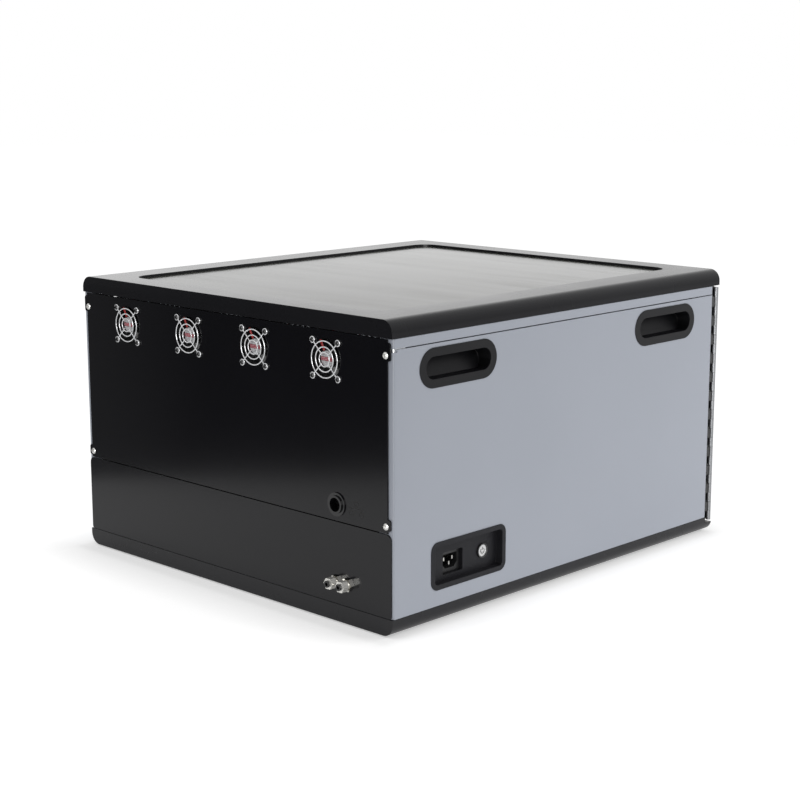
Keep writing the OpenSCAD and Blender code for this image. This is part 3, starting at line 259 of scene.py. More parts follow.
soft_lamp("softbox", (-1.9, -1.45, 1.05), (0, 0, 0.15), size=1.9, watts=25.5)
soft_lamp("fill", (0.2, 2.0, 1.6), (0, 0.4, 0), size=1.5, watts=9)


# ---------------------------------------------------------------- Base tray
# One steel pressing with its two long edges rounded, coated in a satin black powder. It
# closes the bottom, stands on rubber feet and carries the sheets.
def effect(name, *sizes):
    """A shader group for an uneven finish, and the sockets of what goes in.

    In go a position, a light and a dark colour, texture scales and two roughnesses. Out
    come a colour, a roughness and a height."""
    made = bpy.data.node_groups.new(name, "ShaderNodeTree")
    ins = [("Vector", "NodeSocketVector"), ("Light", "NodeSocketColor"), ("Dark", "NodeSocketColor")]
    ins += [(size, "NodeSocketFloat") for size in (*sizes, "Smoothest", "Roughest")]
    outs = [("Color", "NodeSocketColor"), ("Roughness", "NodeSocketFloat"), ("Height", "NodeSocketFloat")]
    for way, sockets in (("INPUT", ins), ("OUTPUT", outs)):
        for socket, kind in sockets:
            made.interface.new_socket(socket, in_out=way, socket_type=kind)
    return made, made.nodes.new("NodeGroupInput").outputs


def noise(tree, place, size_socket, detail):
    """A noise texture on that position, with its scale on a group's input."""
    made = tree.nodes.new("ShaderNodeTexNoise")
    made.inputs["Detail"].default_value = detail
    tree.links.new(place, made.inputs["Vector"])
    tree.links.new(size_socket, made.inputs["Scale"])
    return made.outputs["Fac"]


def blended(tree, factor, first, second):
    """A colour that goes from first to second with the factor."""
    made = tree.nodes.new("ShaderNodeMix")
    made.data_type = "RGBA"
    tree.links.new(factor, made.inputs["Factor"])
    for name, end in (("A", first), ("B", second)):
        pin = [s for s in made.inputs if s.name == name and s.type == "RGBA"][0]
        if isinstance(end, tuple):
            pin.default_value = end
        else:
            tree.links.new(end, pin)
    return [s for s in made.outputs if s.type == "RGBA"][0]


def put_out(group, given, tone, wear, smooth_at, rough_at, height):
    """Ends an effect: colour by its tone, roughness by its wear between two values, height."""
    ends = group.nodes.new("NodeGroupOutput").inputs
    group.links.new(blended(group, tone, given["Dark"], given["Light"]), ends["Color"])
    gloss = spread(group, wear, smooth_at, rough_at, given["Smoothest"], given["Roughest"])
    group.links.new(gloss, ends["Roughness"])
    group.links.new(height, ends["Height"])


coat, given = effect("coat_grain", "Patches", "Grain")
patches = noise(coat, given["Vector"], given["Patches"], detail=4)
grain = noise(coat, given["Vector"], given["Grain"], detail=2)
put_out(coat, given, spread(coat, patches, 0.3, 0.7, 0.0, 1.0), patches, 0.35, 0.7, grain)


def finish(name, rough, metal=0.0, specular=0.5):
    """A new material with a plain principled shader. Any lacquer on it is clear and smooth."""
    made = bpy.data.materials.new(name)
    made.use_nodes = True
    shader = made.node_tree.nodes["Principled BSDF"]
    shader.inputs["Roughness"].default_value = rough
    shader.inputs["Metallic"].default_value = metal
    shader.inputs["Specular IOR Level"].default_value = specular
    shader.inputs["Coat Roughness"].default_value = 0.12
    return made


def place_effect(material, group, light, dark, rough, relief=None, stretch=None, **sizes):
    """Puts an effect in a material, on its Object coordinates, with its own values.

    The rough pair is for where it is smoothest and roughest. The relief is in metres."""
    tree = material.node_tree
    shader = tree.nodes["Principled BSDF"]
    where = tree.nodes.new("ShaderNodeTexCoord").outputs["Object"]
    if stretch:
        mapping = tree.nodes.new("ShaderNodeMapping")
        mapping.inputs["Scale"].default_value = stretch
        tree.links.new(where, mapping.inputs["Vector"])
        where = mapping.outputs["Vector"]
    worked = tree.nodes.new("ShaderNodeGroup")
    worked.node_tree = group
    tree.links.new(where, worked.inputs["Vector"])
    values = {"Light": (*light, 1), "Dark": (*dark, 1), **sizes}
    values["Smoothest"], values["Roughest"] = rough
    for socket, value in values.items():
        worked.inputs[socket].default_value = value
    tree.links.new(worked.outputs["Color"], shader.inputs["Base Color"])
    tree.links.new(worked.outputs["Roughness"], shader.inputs["Roughness"])
    if relief:
        bump = tree.nodes.new("ShaderNodeBump")
        bump.inputs["Distance"].default_value = relief
        tree.links.new(worked.outputs["Height"], bump.inputs["Height"])
        tree.links.new(bump.outputs["Normal"], shader.inputs["Normal"])


def coated(name, light, dark, patches, grain, rough, relief, specular=0.5):
    """Powder coat, moulded plastic or rubber: faint patches, fine grain and uneven gloss."""
    made = finish(name, rough[1], specular=specular)
    place_effect(made, coat, light, dark, rough, relief, Patches=patches, Grain=grain)
    return made


def softened(node, width, steps=2, inside=None, merged=True):
    """A copy of a node's solid with its sharp edges broken by that width. It stands for the node.

    Faces for which inside() holds get the second material slot. Flat faces are merged into
    one unless merged is off, as for a piece with an open rebate along their edge."""
    seam = 2e-6
    flat = math.radians(0.4)
    sharp = math.radians(35)
    mesh = nodes[node].data.copy()
    mesh.name = node + "_skin"
    worked = bmesh.new()
    worked.from_mesh(mesh)
    bmesh.ops.remove_doubles(worked, verts=worked.verts, dist=seam)
    if merged:
        bmesh.ops.dissolve_limit(worked, angle_limit=flat, verts=worked.verts, edges=worked.edges)
    if inside:
        for face in worked.faces:
            face.material_index = 1 if inside(face.calc_center_median()) else 0
    worked.to_mesh(mesh)
    worked.free()
    if mesh.has_custom_normals:
        mesh.normals_split_custom_set([(0, 0, 0)] * len(mesh.loops))
    mesh.shade_smooth()
    mesh.set_sharp_from_angle(angle=sharp)
    made = in_scene(node + "_skin", mesh)
    edges = made.modifiers.new("broken_edges", "BEVEL")
    edges.width = width
    edges.segments = steps
    edges.limit_method = "ANGLE"
    edges.angle_limit = sharp
    edges.use_clamp_overlap = True
    edges.harden_normals = True
    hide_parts(node)
    return made


def give(piece, material, body, second=None):
    """Finishes a piece: its material, any second one, and the body it rides on."""
    piece.data.materials.clear()
    piece.data.materials.append(material)
    if second:
        piece.data.materials.append(second)
    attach(piece, body)


def paint(material, *names):
    """Gives carried-over nodes their material."""
    for name in names:
        for held in nodes[name].material_slots:
            held.material = material


tray_black = coated(
    "tray_black_coat",
    light=(0.0095, 0.0095, 0.0115), dark=(0.008, 0.008, 0.0095),
    patches=9, grain=900, rough=(0.24, 0.3), relief=2e-6, specular=0.3,
)
give(softened("base_tray", 0.0006), tray_black, "cabinet")
foot_rubber = coated(
    "foot_rubber",
    light=(0.022, 0.022, 0.022), dark=(0.014, 0.014, 0.014),
    patches=60, grain=1200, rough=(0.75, 0.9), relief=1.5e-5,
)
paint(foot_rubber, "rubber_feet")


# ---------------------------------------------------------------- Liner and frame sheets
# What the coat doesn't reach: the plate on the tray, the corner posts and the sheets of
# the drying chamber, all in bare rolled aluminium with its mill streaks.
rolled, given = effect("rolled_metal", "Streaks")
lines = noise(rolled, given["Vector"], given["Streaks"], detail=6)
put_out(rolled, given, spread(rolled, lines, 0.3, 0.7, 0.0, 1.0), lines, 0.35, 0.65, lines)


def metal(name, light, dark, streaks, stretch, rough, relief, share=1.0):
    """Rolled, drawn, turned or plated metal, streaked along the axis with the least stretch.

    The share is how much of it mirrors: oxide and grease scatter the rest."""
    made = finish(name, rough[1], metal=share)
    place_effect(made, rolled, light, dark, rough, relief, stretch, Streaks=streaks)
    return made


liner = metal(
    "mill_aluminium",
    light=(0.66, 0.67, 0.68), dark=(0.56, 0.57, 0.58),
    streaks=60, stretch=(1, 1, 0.06), rough=(0.3, 0.45), relief=3e-6,
)
paint(liner, "base_plate", "corner_posts")
paint(liner, "chamber_floor", "chamber_walls", "chamber_back", "chamber_ceiling")


# ---------------------------------------------------------------- Heater and supply
# Folded sheet boxes: the heater with its fins and fan behind the spools, and the power
# supply with its slotted lid in the bay underneath.
zinc = metal(
    "zinc_sheet",
    light=(0.64, 0.65, 0.66), dark=(0.50, 0.51, 0.52),
    streaks=25, stretch=(1, 1, 1), rough=(0.32, 0.5), relief=4e-6,
)
paint(zinc, "heater_unit", "power_supply")
fan_plastic = coated(
    "fan_plastic",
    light=(0.016, 0.016, 0.017), dark=(0.011, 0.011, 0.012),
    patches=80, grain=2500, rough=(0.42, 0.55), relief=4e-6,
)
paint(fan_plastic, "heater_impeller")


# ---------------------------------------------------------------- Circuit boards
# Glass-fibre boards under a green solder mask, with the lighter tracks showing through:
# the little one that feeds the fans and the controller beside the power supply.
def board_finish(name, turn):
    """Solder mask over fine square tracks that run on two of the turned axes, in degrees."""
    made = finish(name, 0.35)
    tree = made.node_tree
    shader = tree.nodes["Principled BSDF"]
    grid = tree.nodes.new("ShaderNodeTexBrick")
    grid.inputs["Scale"].default_value = 240.0
    grid.inputs["Mortar Size"].default_value = 0.03
    grid.inputs["Color1"].default_value = (0.016, 0.085, 0.034, 1)
    grid.inputs["Color2"].default_value = (0.012, 0.066, 0.027, 1)
    grid.inputs["Mortar"].default_value = (0.05, 0.17, 0.07, 1)
    turned = tree.nodes.new("ShaderNodeMapping")
    turned.inputs["Rotation"].default_value = [math.radians(angle) for angle in turn]
    tree.links.new(tree.nodes.new("ShaderNodeTexCoord").outputs["Object"], turned.inputs["Vector"])
    tree.links.new(turned.outputs["Vector"], grid.inputs["Vector"])
    tree.links.new(grid.outputs["Color"], shader.inputs["Base Color"])
    bump = tree.nodes.new("ShaderNodeBump")
    bump.inputs["Distance"].default_value = 2e-5
    tree.links.new(grid.outputs["Fac"], bump.inputs["Height"])
    tree.links.new(bump.outputs["Normal"], shader.inputs["Normal"])
    return made


paint(board_finish("fan_board_mask", (90, 0, 0)), "fan_board")
paint(board_finish("control_board_mask", (0, 0, 0)), "control_board")


# ---------------------------------------------------------------- Rollers
# Four drawn steel tubes on stubs that turn in plain bores of the moulded brackets; the
# spools stand on them and turn as they pay out.
roller_steel = metal(
    "drawn_tube",
    light=(0.62, 0.63, 0.64), dark=(0.50, 0.51, 0.52),
    streaks=260, stretch=(0.03, 1, 1), rough=(0.24, 0.36), relief=3e-6,
)
paint(roller_steel, "roller_1", "roller_2", "roller_3", "roller_4")
black_moulding = coated(
    "spark_grained_plastic",
    light=(0.0075, 0.0075, 0.009), dark=(0.0055, 0.0055, 0.007),
    patches=30, grain=1700, rough=(0.33, 0.42), relief=9e-6, specular=0.16,
)
paint(black_moulding, "roller_brackets")


# ---------------------------------------------------------------- Side panels and rails
# Folded steel sheet in a fine matt blue-grey powder coat: a large panel on each side
# with cut-outs for the handles and the inlet, and a narrow rail above it.
panel_grey = coated(
    "blue_grey_coat",
    light=(0.340, 0.362, 0.412), dark=(0.320, 0.342, 0.391),
    patches=5, grain=1400, rough=(0.38, 0.46), relief=6e-6,
)
for side in ("side_panel_left", "side_panel_right", "top_rails"):
    give(softened(side, 0.00035), panel_grey, "cabinet")


# ---------------------------------------------------------------- Handles
# Moulded cups let into the side panels, two on a side: a flat oval band outside and a
# pocket for the fingers that is deeper under its top edge.
for number in range(1, 5):
    give(softened("handle_cup_%d" % number, 0.0004), black_moulding, "cabinet")


# ---------------------------------------------------------------- Power recess
# A shallow moulded tray in the left panel with the mains inlet set back in its floor
# and a metal push button beside it.
button_low, button_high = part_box("power_button")
button_y = (button_low.y + button_high.y) / 2
button_z = (button_low.z + button_high.z) / 2
recess = softened("power_recess", 0.0004)
# The blind end of the button's bore is let in, so that the broken edge round it leaves
# room for the end of the button when it is pressed home.
BORE_PLAY = 0.0002
BORE_LET_IN = 0.0005
for corner in recess.data.vertices:
    off_axis = math.hypot(corner.co.y - button_y, corner.co.z - button_z)
    if corner.co.x > button_high.x and off_axis < button_high.z - button_z + BORE_PLAY:
        corner.co.x += BORE_LET_IN
recess_moulding = coated(
    "satin_plastic",
    light=(0.019, 0.019, 0.022), dark=(0.015, 0.015, 0.018),
    patches=30, grain=1700, rough=(0.36, 0.45), relief=6e-6, specular=0.14,
)
give(recess, recess_moulding, "cabinet")
socket_plastic = coated(
    "thermoset_black",
    light=(0.010, 0.010, 0.011), dark=(0.007, 0.007, 0.008),
    patches=50, grain=1500, rough=(0.4, 0.5), relief=4e-6,
)
paint(socket_plastic, "mains_socket")
bright_nickel = metal(
    "bright_nickel_plate",
    light=(0.55, 0.54, 0.51), dark=(0.40, 0.39, 0.37),
    streaks=260, stretch=(1, 0.2, 1), rough=(0.12, 0.2), relief=2e-6,
)
paint(bright_nickel, "mains_pins")
bezel_black = coated(
    "bezel_black",
    light=(0.010, 0.010, 0.011), dark=(0.007, 0.007, 0.008),
    patches=50, grain=900, rough=(0.12, 0.2), relief=2e-6,
)
paint(bezel_black, "button_bezel")
button_steel = metal(
    "turned_steel",
    light=(0.74, 0.74, 0.74), dark=(0.52, 0.52, 0.52),
    streaks=900, stretch=(0.1, 1, 1), rough=(0.2, 0.32), relief=2e-6, share=0.6,
)
paint(button_steel, "power_button")

# The mark on the button: an open ring with a stroke through the gap, filled with black.
# Half the gap is in degrees.
MARK_R = 0.0031
MARK_W = 0.0009
MARK_T = 0.00006
MARK_STEPS = 40
HALF_GAP = 38
STROKE_FROM = 0.0008
STROKE_TO = 0.0042


def flat_strip(worked, inner, outer):
    """A thin flat strip on the button's face between two rows of (y, z) points."""
    rows = []
    for row in (inner, outer):
        for x in (button_low.x, button_low.x - MARK_T):
            rows.append([worked.verts.new((x, button_y + y, button_z + z)) for y, z in row])
    ring = (rows[0], rows[2], rows[3], rows[1])
    for step in range(len(inner) - 1):
        for first, second in zip(ring, ring[1:] + ring[:1]):
            worked.faces.new((first[step], second[step], second[step + 1], first[step + 1]))
    for end in (0, -1):
        worked.faces.new([row[end] for row in ring])


def open_ring(radius):
    """The (y, z) points of a ring that is open at the top."""
    turns = [90 + HALF_GAP + step * (360 - 2 * HALF_GAP) / MARK_STEPS for step in range(MARK_STEPS + 1)]
    return [(radius * math.cos(math.radians(t)), radius * math.sin(math.radians(t))) for t in turns]


def shaped(name, worked):
    """Turns worked geometry into an object whose faces point outwards."""
    bmesh.ops.recalc_face_normals(worked, faces=worked.faces)
    mesh = bpy.data.meshes.new(name)
    worked.to_mesh(mesh)
    worked.free()
    return in_scene(name, mesh)


worked = bmesh.new()
flat_strip(worked, open_ring(MARK_R - MARK_W / 2), open_ring(MARK_R + MARK_W / 2))
stroke_left, stroke_right = [[(y, STROKE_FROM), (y, STROKE_TO)] for y in (-MARK_W / 2, MARK_W / 2)]
flat_strip(worked, stroke_left, stroke_right)
dull_ink = coated(
    "dull_ink",
    light=(0.003, 0.003, 0.003), dark=(0.002, 0.002, 0.002),
    patches=300, grain=3000, rough=(0.7, 0.9), relief=2e-6,
)
give(shaped("button_mark", worked), dull_ink, "button")


# ---------------------------------------------------------------- Back panels
# Two flat sheets in a smooth half-gloss black coat, the upper one held by four ears.
# Beside the cable bushing a small network sign is printed in a darker, duller ink.
back_black = coated(
    "half_gloss_black_coat",
    light=(0.0040, 0.0040, 0.0056), dark=(0.0034, 0.0034, 0.0048),
    patches=5, grain=1100, rough=(0.16, 0.19), relief=5e-7, specular=0.32,
)
for panel in ("rear_panel_upper", "rear_panel_lower"):
    give(softened(panel, 0.0003), back_black, "cabinet")

# The sign: a small box over a rail and two under it, each on a short post.
SIGN_X = -0.2186
SIGN_Z = 0.1375
SIGN_LINE = 0.0008
INK_T = 0.00006
BOX_W = 0.0066
BOX_H = 0.0052
RAIL_HALF = 0.0125
BOX_UP = 0.0055
BOX_DOWN = 0.0056
BOX_ASIDE = 0.0078
panel_face_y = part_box("rear_panel_upper")[1].y


def ink_bar(worked, x0, x1, z0, z1):
    """A thin printed bar on the face of the upper back panel."""
    for vertex in bmesh.ops.create_cube(worked, size=1.0)["verts"]:
        vertex.co.x = x0 if vertex.co.x < 0 else x1
        vertex.co.y = panel_face_y if vertex.co.y < 0 else panel_face_y + INK_T
        vertex.co.z = z0 if vertex.co.z < 0 else z1


def ink_post(worked, x, z0, z1):
    """A printed upright line."""
    ink_bar(worked, x - SIGN_LINE / 2, x + SIGN_LINE / 2, z0, z1)


def ink_frame(worked, x, z):
    """The printed outline of a small box round that middle."""
    left, right, low, high = x - BOX_W / 2, x + BOX_W / 2, z - BOX_H / 2, z + BOX_H / 2
    ink_bar(worked, left, right, high - SIGN_LINE, high)
    ink_bar(worked, left, right, low, low + SIGN_LINE)
    ink_bar(worked, left, left + SIGN_LINE, low + SIGN_LINE, high - SIGN_LINE)
    ink_bar(worked, right - SIGN_LINE, right, low + SIGN_LINE, high - SIGN_LINE)


worked = bmesh.new()
ink_frame(worked, SIGN_X, SIGN_Z + BOX_UP)
ink_post(worked, SIGN_X, SIGN_Z + SIGN_LINE, SIGN_Z + BOX_UP - BOX_H / 2)
ink_bar(worked, SIGN_X - RAIL_HALF, SIGN_X + RAIL_HALF, SIGN_Z, SIGN_Z + SIGN_LINE)
for x in (SIGN_X - BOX_ASIDE, SIGN_X + BOX_ASIDE):
    ink_frame(worked, x, SIGN_Z - BOX_DOWN)
    ink_post(worked, x, SIGN_Z - BOX_DOWN + BOX_H / 2, SIGN_Z)
give(shaped("network_sign", worked), dull_ink, "cabinet")


# ---------------------------------------------------------------- Screws
# Button-head steel screws with a hexagon socket in the ears of the back panel, and black
# ones through the eyes of the fan guards, each on a thin steel washer.
screw_steel = metal(
    "screw_steel",
    light=(0.78, 0.77, 0.75), dark=(0.60, 0.60, 0.58),
    streaks=700, stretch=(1, 1, 1), rough=(0.22, 0.34), relief=2e-6, share=0.7,
)
black_oxide = coated(
    "black_oxide",
    light=(0.016, 0.016, 0.017), dark=(0.009, 0.009, 0.010),
    patches=300, grain=2500, rough=(0.3, 0.45), relief=2e-6,
)
paint(screw_steel, "guard_spacers")
paint(black_oxide, "guard_screws")
screw_low, screw_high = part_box("rear_screws")
SOCKET_R = 0.00185
SCREW_R = 0.004


def in_socket(spot):
    """Whether a face is a wall or the floor of a screw's hexagon socket."""
    axis_x = math.copysign(screw_high.x - SCREW_R, spot.x)
    axis_z = min((screw_low.z + SCREW_R, screw_high.z - SCREW_R), key=lambda z: abs(z - spot.z))
    return math.hypot(spot.x - axis_x, spot.z - axis_z) < SOCKET_R and spot.y > panel_face_y


# The sockets' walls and floors take the black oxide, which also paints the shade inside them.
ear_screws = softened("rear_screws", 0.00012, steps=1, inside=in_socket)
give(ear_screws, screw_steel, "cabinet", black_oxide)


# ---------------------------------------------------------------- Fans
# Four 50 mm axial fans behind the back sheet: a moulded frame with its hub on three
# struts, a seven-blade impeller, and a chromed wire guard over each.
paint(fan_plastic, "fan_frames")
blade_plastic = coated(
    "blade_plastic",
    light=(0.014, 0.014, 0.015), dark=(0.010, 0.010, 0.011),
    patches=80, grain=2500, rough=(0.34, 0.46), relief=4e-6,
)
paint(blade_plastic, "fan_impeller_1", "fan_impeller_2", "fan_impeller_3", "fan_impeller_4")
guard_chrome = metal(
    "guard_chrome",
    light=(0.90, 0.91, 0.92), dark=(0.80, 0.81, 0.83),
    streaks=500, stretch=(1, 1, 1), rough=(0.14, 0.24), relief=1e-6, share=0.45,
)
paint(guard_chrome, "fan_guards")

# The foil label on each hub: silver grey with a red band and blank grey rules.
LABEL_R = 0.0092
LABEL_T = 0.00012
LABEL_STEPS = 48
FOIL = (0.62, 0.62, 0.63, 1)
FOIL_RULE = (0.12, 0.12, 0.13, 1)
BAND = (0.36, 0.03, 0.05, 1)
BAND_RULE = (0.55, 0.40, 0.42, 1)
label_print = finish("foil_label", 0.4)
tree = label_print.node_tree
uv = tree.nodes.new("ShaderNodeUVMap")
uv.uv_map = "face"
axes = tree.nodes.new("ShaderNodeSeparateXYZ")
tree.links.new(uv.outputs["UV"], axes.inputs[0])
rules = tree.nodes.new("ShaderNodeTexWave")
rules.bands_direction = "Y"
rules.inputs["Scale"].default_value = 1.7
rules.inputs["Distortion"].default_value = 0.0
tree.links.new(uv.outputs["UV"], rules.inputs["Vector"])
dashes = tree.nodes.new("ShaderNodeTexNoise")
dashes.inputs["Scale"].default_value = 9.0
tree.links.new(uv.outputs["UV"], dashes.inputs["Vector"])
in_rule = spread(tree, rules.outputs["Fac"], 0.55, 0.75, 0.0, 1.0)
in_dash = spread(tree, dashes.outputs["Fac"], 0.42, 0.5, 0.0, 1.0)
line_mask = combined(tree, "ShaderNodeMath", "MULTIPLY", in_rule, in_dash)
off_middle = combined(tree, "ShaderNodeMath", "ABSOLUTE", axes.outputs["Y"])
band_mask = spread(tree, off_middle, 0.20, 0.26, 1.0, 0.0)
foil = blended(tree, line_mask, FOIL, FOIL_RULE)
band = blended(tree, line_mask, BAND, BAND_RULE)
printed = blended(tree, band_mask, foil, band)
tree.links.new(printed, tree.nodes["Principled BSDF"].inputs["Base Color"])

label_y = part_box("fan_frames")[1].y
for number in range(1, 5):
    low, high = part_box("fan_impeller_%d" % number)
    hub_x = (low.x + high.x) / 2
    hub_z = (low.z + high.z) / 2
    worked = bmesh.new()
    rings = []
    for y, r in ((label_y, LABEL_R), (label_y + LABEL_T, LABEL_R), (label_y + LABEL_T, LABEL_R * 0.97)):
        ring = []
        for step in range(LABEL_STEPS):
            turn = 2 * math.pi * step / LABEL_STEPS
            ring.append(worked.verts.new((hub_x + r * math.cos(turn), y, hub_z + r * math.sin(turn))))
        rings.append(ring)
    for inner, outer in zip(rings, rings[1:]):
        for step in range(LABEL_STEPS):
            ahead = (step + 1) % LABEL_STEPS
            worked.faces.new((inner[step], outer[step], outer[ahead], inner[ahead]))
    worked.faces.new(rings[-1])
    worked.faces.new(rings[0])
    layer = worked.loops.layers.uv.new("face")
    for face in worked.faces:
        for loop in face.loops:
            spot = loop.vert.co
            loop[layer].uv = ((spot.x - hub_x) / LABEL_R, (spot.z - hub_z) / LABEL_R)
    give(shaped("hub_label_%d" % number, worked), label_print, "cabinet")

# The fans' leads, clipped round the frame and down to the board that feeds them.
lead_red = coated(
    "lead_insulation",
    light=(0.52, 0.022, 0.018), dark=(0.40, 0.015, 0.013),
    patches=200, grain=3000, rough=(0.38, 0.5), relief=3e-6,
)
paint(lead_red, "fan_leads")


# ---------------------------------------------------------------- Ports
# A glossy black bushing for the network cable, and two push-in fittings for filament
# tube: nickel-plated hexagons with a black collet that lets the tube go when pushed.
gloss_black = coated(
    "glossy_black_nylon",
    light=(0.007, 0.007, 0.008), dark=(0.005, 0.005, 0.006),
    patches=60, grain=900, rough=(0.09, 0.16), relief=2e-6,
)
paint(gloss_black, "cable_bushing", "collet_1", "collet_2")
nickel = metal(
    "nickel_plate",
    light=(0.86, 0.85, 0.81), dark=(0.70, 0.69, 0.65),
    streaks=260, stretch=(1, 0.2, 1), rough=(0.16, 0.27), relief=2e-6, share=0.5,
)
paint(nickel, "tube_fittings")
paint(bright_nickel, "fitting_nuts")
tube_white = coated(
    "milky_tube",
    light=(0.80, 0.80, 0.76), dark=(0.72, 0.72, 0.68),
    patches=40, grain=900, rough=(0.3, 0.42), relief=2e-6,
)
paint(tube_white, "guide_tubes")
paint(black_moulding, "filament_inlets")


# ---------------------------------------------------------------- Cover
# The tray's twin, turned over, as the lid: the same pressing in the same satin coat. Its
# flat rim is shinier with a painted sheen, most of all towards the back.
cover_black = coated(
    "satin_black_coat",
    light=(0.0105, 0.0105, 0.0125), dark=(0.009, 0.009, 0.0105),
    patches=7, grain=900, rough=(0.24, 0.3), relief=2e-6, specular=0.11,
)
# The painted sheen's lacquer starts faintly on the rounded edges and is full on the rim.
cover_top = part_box("top_cover")[1].z
up = (0, 0, 1)
tree = cover_black.node_tree
edge_painted_sheen = spread(tree, along(tree, up), cover_top - 0.013, cover_top - 0.006, 0.0, 0.15)
rim_painted_sheen = spread(tree, along(tree, (0.7, 0.7, 0)), -0.4, 0.4, 0.36, 0.70)
lacquer = spread(tree, along(tree, up), cover_top - 0.0016, cover_top - 0.0002, edge_painted_sheen, rim_painted_sheen)
tree.links.new(lacquer, tree.nodes["Principled BSDF"].inputs["Coat Weight"])
give(softened("top_cover", 0.0006), cover_black, "cabinet")


# ---------------------------------------------------------------- Plate in the top
# The sheet under the recess that carries a machine. Black coated like the cover, with
# the long faint streaks of wiping and of feet pushed over it.
wipe, given = effect("wipe_marks", "Clouds", "Streaks")
clouds = noise(wipe, given["Vector"], given["Clouds"], detail=3)
turned = wipe.nodes.new("ShaderNodeMapping")
turned.inputs["Rotation"].default_value = (0, 0, math.radians(-38))
turned.inputs["Scale"].default_value = (0.25, 3.2, 1)
wipe.links.new(given["Vector"], turned.inputs["Vector"])
streaks = noise(wipe, turned.outputs["Vector"], given["Streaks"], detail=5)
cloudy = spread(wipe, clouds, 0.35, 0.65, 0.25, 1.0)
streaky = spread(wipe, streaks, 0.38, 0.68, 0.0, 1.0)
marks = combined(wipe, "ShaderNodeMath", "MULTIPLY", cloudy, streaky)
put_out(wipe, given, marks, marks, 0.0, 1.0, marks)

plate_black = finish("wiped_black_plate", 0.2)
place_effect(
    plate_black, wipe,
    light=(0.050, 0.051, 0.038), dark=(0.032, 0.033, 0.025),
    rough=(0.14, 0.22), relief=4e-6, Clouds=4.5, Streaks=9.0,
)
# Its lacquer is a painted sheen, gone at the back left corner and growing towards the front right.
tree = plate_black.node_tree
plate_painted_sheen = spread(tree, along(tree, (0.7, -0.7, 0)), -0.22, 0.28, 0.0, 0.34)
tree.links.new(plate_painted_sheen, tree.nodes["Principled BSDF"].inputs["Coat Weight"])
paint(plate_black, "top_plate")


# ---------------------------------------------------------------- Display
# The control display below the door opening: a black glass face on a thin bezel, dark
# while the cabinet is off.
display_glass = coated(
    "display_glass",
    light=(0.008, 0.009, 0.012), dark=(0.006, 0.007, 0.009),
    patches=20, grain=400, rough=(0.05, 0.1), relief=5e-7,
)
paint(display_glass, "display_module")


# ---------------------------------------------------------------- Hinge
# A piano hinge the height of the door, rolled from steel strip. The knuckles and the
# door's leaf are bare; the flat of the cabinet's leaf is painted near black as shade.
STEEL_SHARE = 0.75


def strip_steel(name):
    """Rolled steel strip, dulled by handling."""
    return metal(
        name,
        light=(0.31, 0.315, 0.325), dark=(0.24, 0.245, 0.255),
        streaks=180, stretch=(1, 1, 0.08), rough=(0.3, 0.42), relief=3e-6, share=STEEL_SHARE,
    )


hinge_steel = strip_steel("hinge_steel")
paint(hinge_steel, "hinge_pin")
# The flat of the door's leaf is set back by a little more than its screws' heads are high,
# so that they stay within the cabinet's depth.
LEAF_SUNK = 0.00012
KNUCKLE_W = 0.0072
leaf_low, leaf_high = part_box("hinge_leaf_door")
leaf_mesh = nodes["hinge_leaf_door"].data.copy()
for vertex in leaf_mesh.vertices:
    if vertex.co.y < leaf_low.y + 1e-5 and vertex.co.x > leaf_low.x + KNUCKLE_W - 0.001:
        vertex.co.y += LEAF_SUNK
door_leaf = in_scene("hinge_leaf_door_skin", leaf_mesh)
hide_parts("hinge_leaf_door")
give(door_leaf, hinge_steel, "door")

# The painted shade on the cabinet's leaf begins where the barrel ends.
LEAF_SHADE = (0.006, 0.006, 0.007, 1)
BARREL_R = 0.0024
SHADE_BLEND = 0.0004
shaded_leaf = strip_steel("shade_painted_hinge_leaf")
tree = shaded_leaf.node_tree
shader = tree.nodes["Principled BSDF"]
pin_low, pin_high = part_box("hinge_pin")
barrel_y = (pin_low.y + pin_high.y) / 2 + BARREL_R
painted_shade_mask = spread(tree, along(tree, (0, 1, 0)), barrel_y, barrel_y + SHADE_BLEND, 0.0, 1.0)
bare = shader.inputs["Base Color"].links[0].from_socket
tree.links.new(blended(tree, painted_shade_mask, bare, LEAF_SHADE), shader.inputs["Base Color"])
tree.links.new(spread(tree, painted_shade_mask, 0.0, 1.0, STEEL_SHARE, 0.0), shader.inputs["Metallic"])
paint(shaded_leaf, "hinge_leaf_frame")

# The countersunk screws of the door's leaf: flat heads with a hexagon socket, one every
# 48 mm, all but flush with the leaf.
HEAD_R = 0.0028
HEAD_T = 0.0001
HEAD_STEPS = 24
KEY_FLAT = 0.001
KEY_DEEP = 0.00006
SCREW_COUNT = 7
SCREW_PITCH = 0.048


def screw_ring(worked, y, radius=None, flat=None):
    """Points round the screw's axis, on a circle or on a hexagon with that half width."""
    ring = []
    for step in range(HEAD_STEPS):
        turn = 2 * math.pi * step / HEAD_STEPS
        r = radius if radius else flat / math.cos((turn % (math.pi / 3)) - math.pi / 6)
        ring.append(worked.verts.new((r * math.cos(turn), y, r * math.sin(turn))))
    return ring


worked = bmesh.new()
rings = [
    screw_ring(worked, 0, HEAD_R),
    screw_ring(worked, -HEAD_T * 0.6, HEAD_R),
    screw_ring(worked, -HEAD_T, HEAD_R - HEAD_T),
    screw_ring(worked, -HEAD_T, flat=KEY_FLAT),
    screw_ring(worked, -HEAD_T + KEY_DEEP, flat=KEY_FLAT * 0.98),
]
# The socket's faces are marked for the black oxide, which also paints the shade inside them.
sunk = worked.faces.layers.bool.new("sunk")
for near, far in zip(rings, rings[1:]):
    for step in range(HEAD_STEPS):
        ahead = (step + 1) % HEAD_STEPS
        wall = worked.faces.new((near[step], near[ahead], far[ahead], far[step]))
        wall[sunk] = far is rings[-1]
worked.faces.new(rings[-1])[sunk] = True
worked.faces.new(rings[0])
one_screw = shaped("hinge_screw", worked)

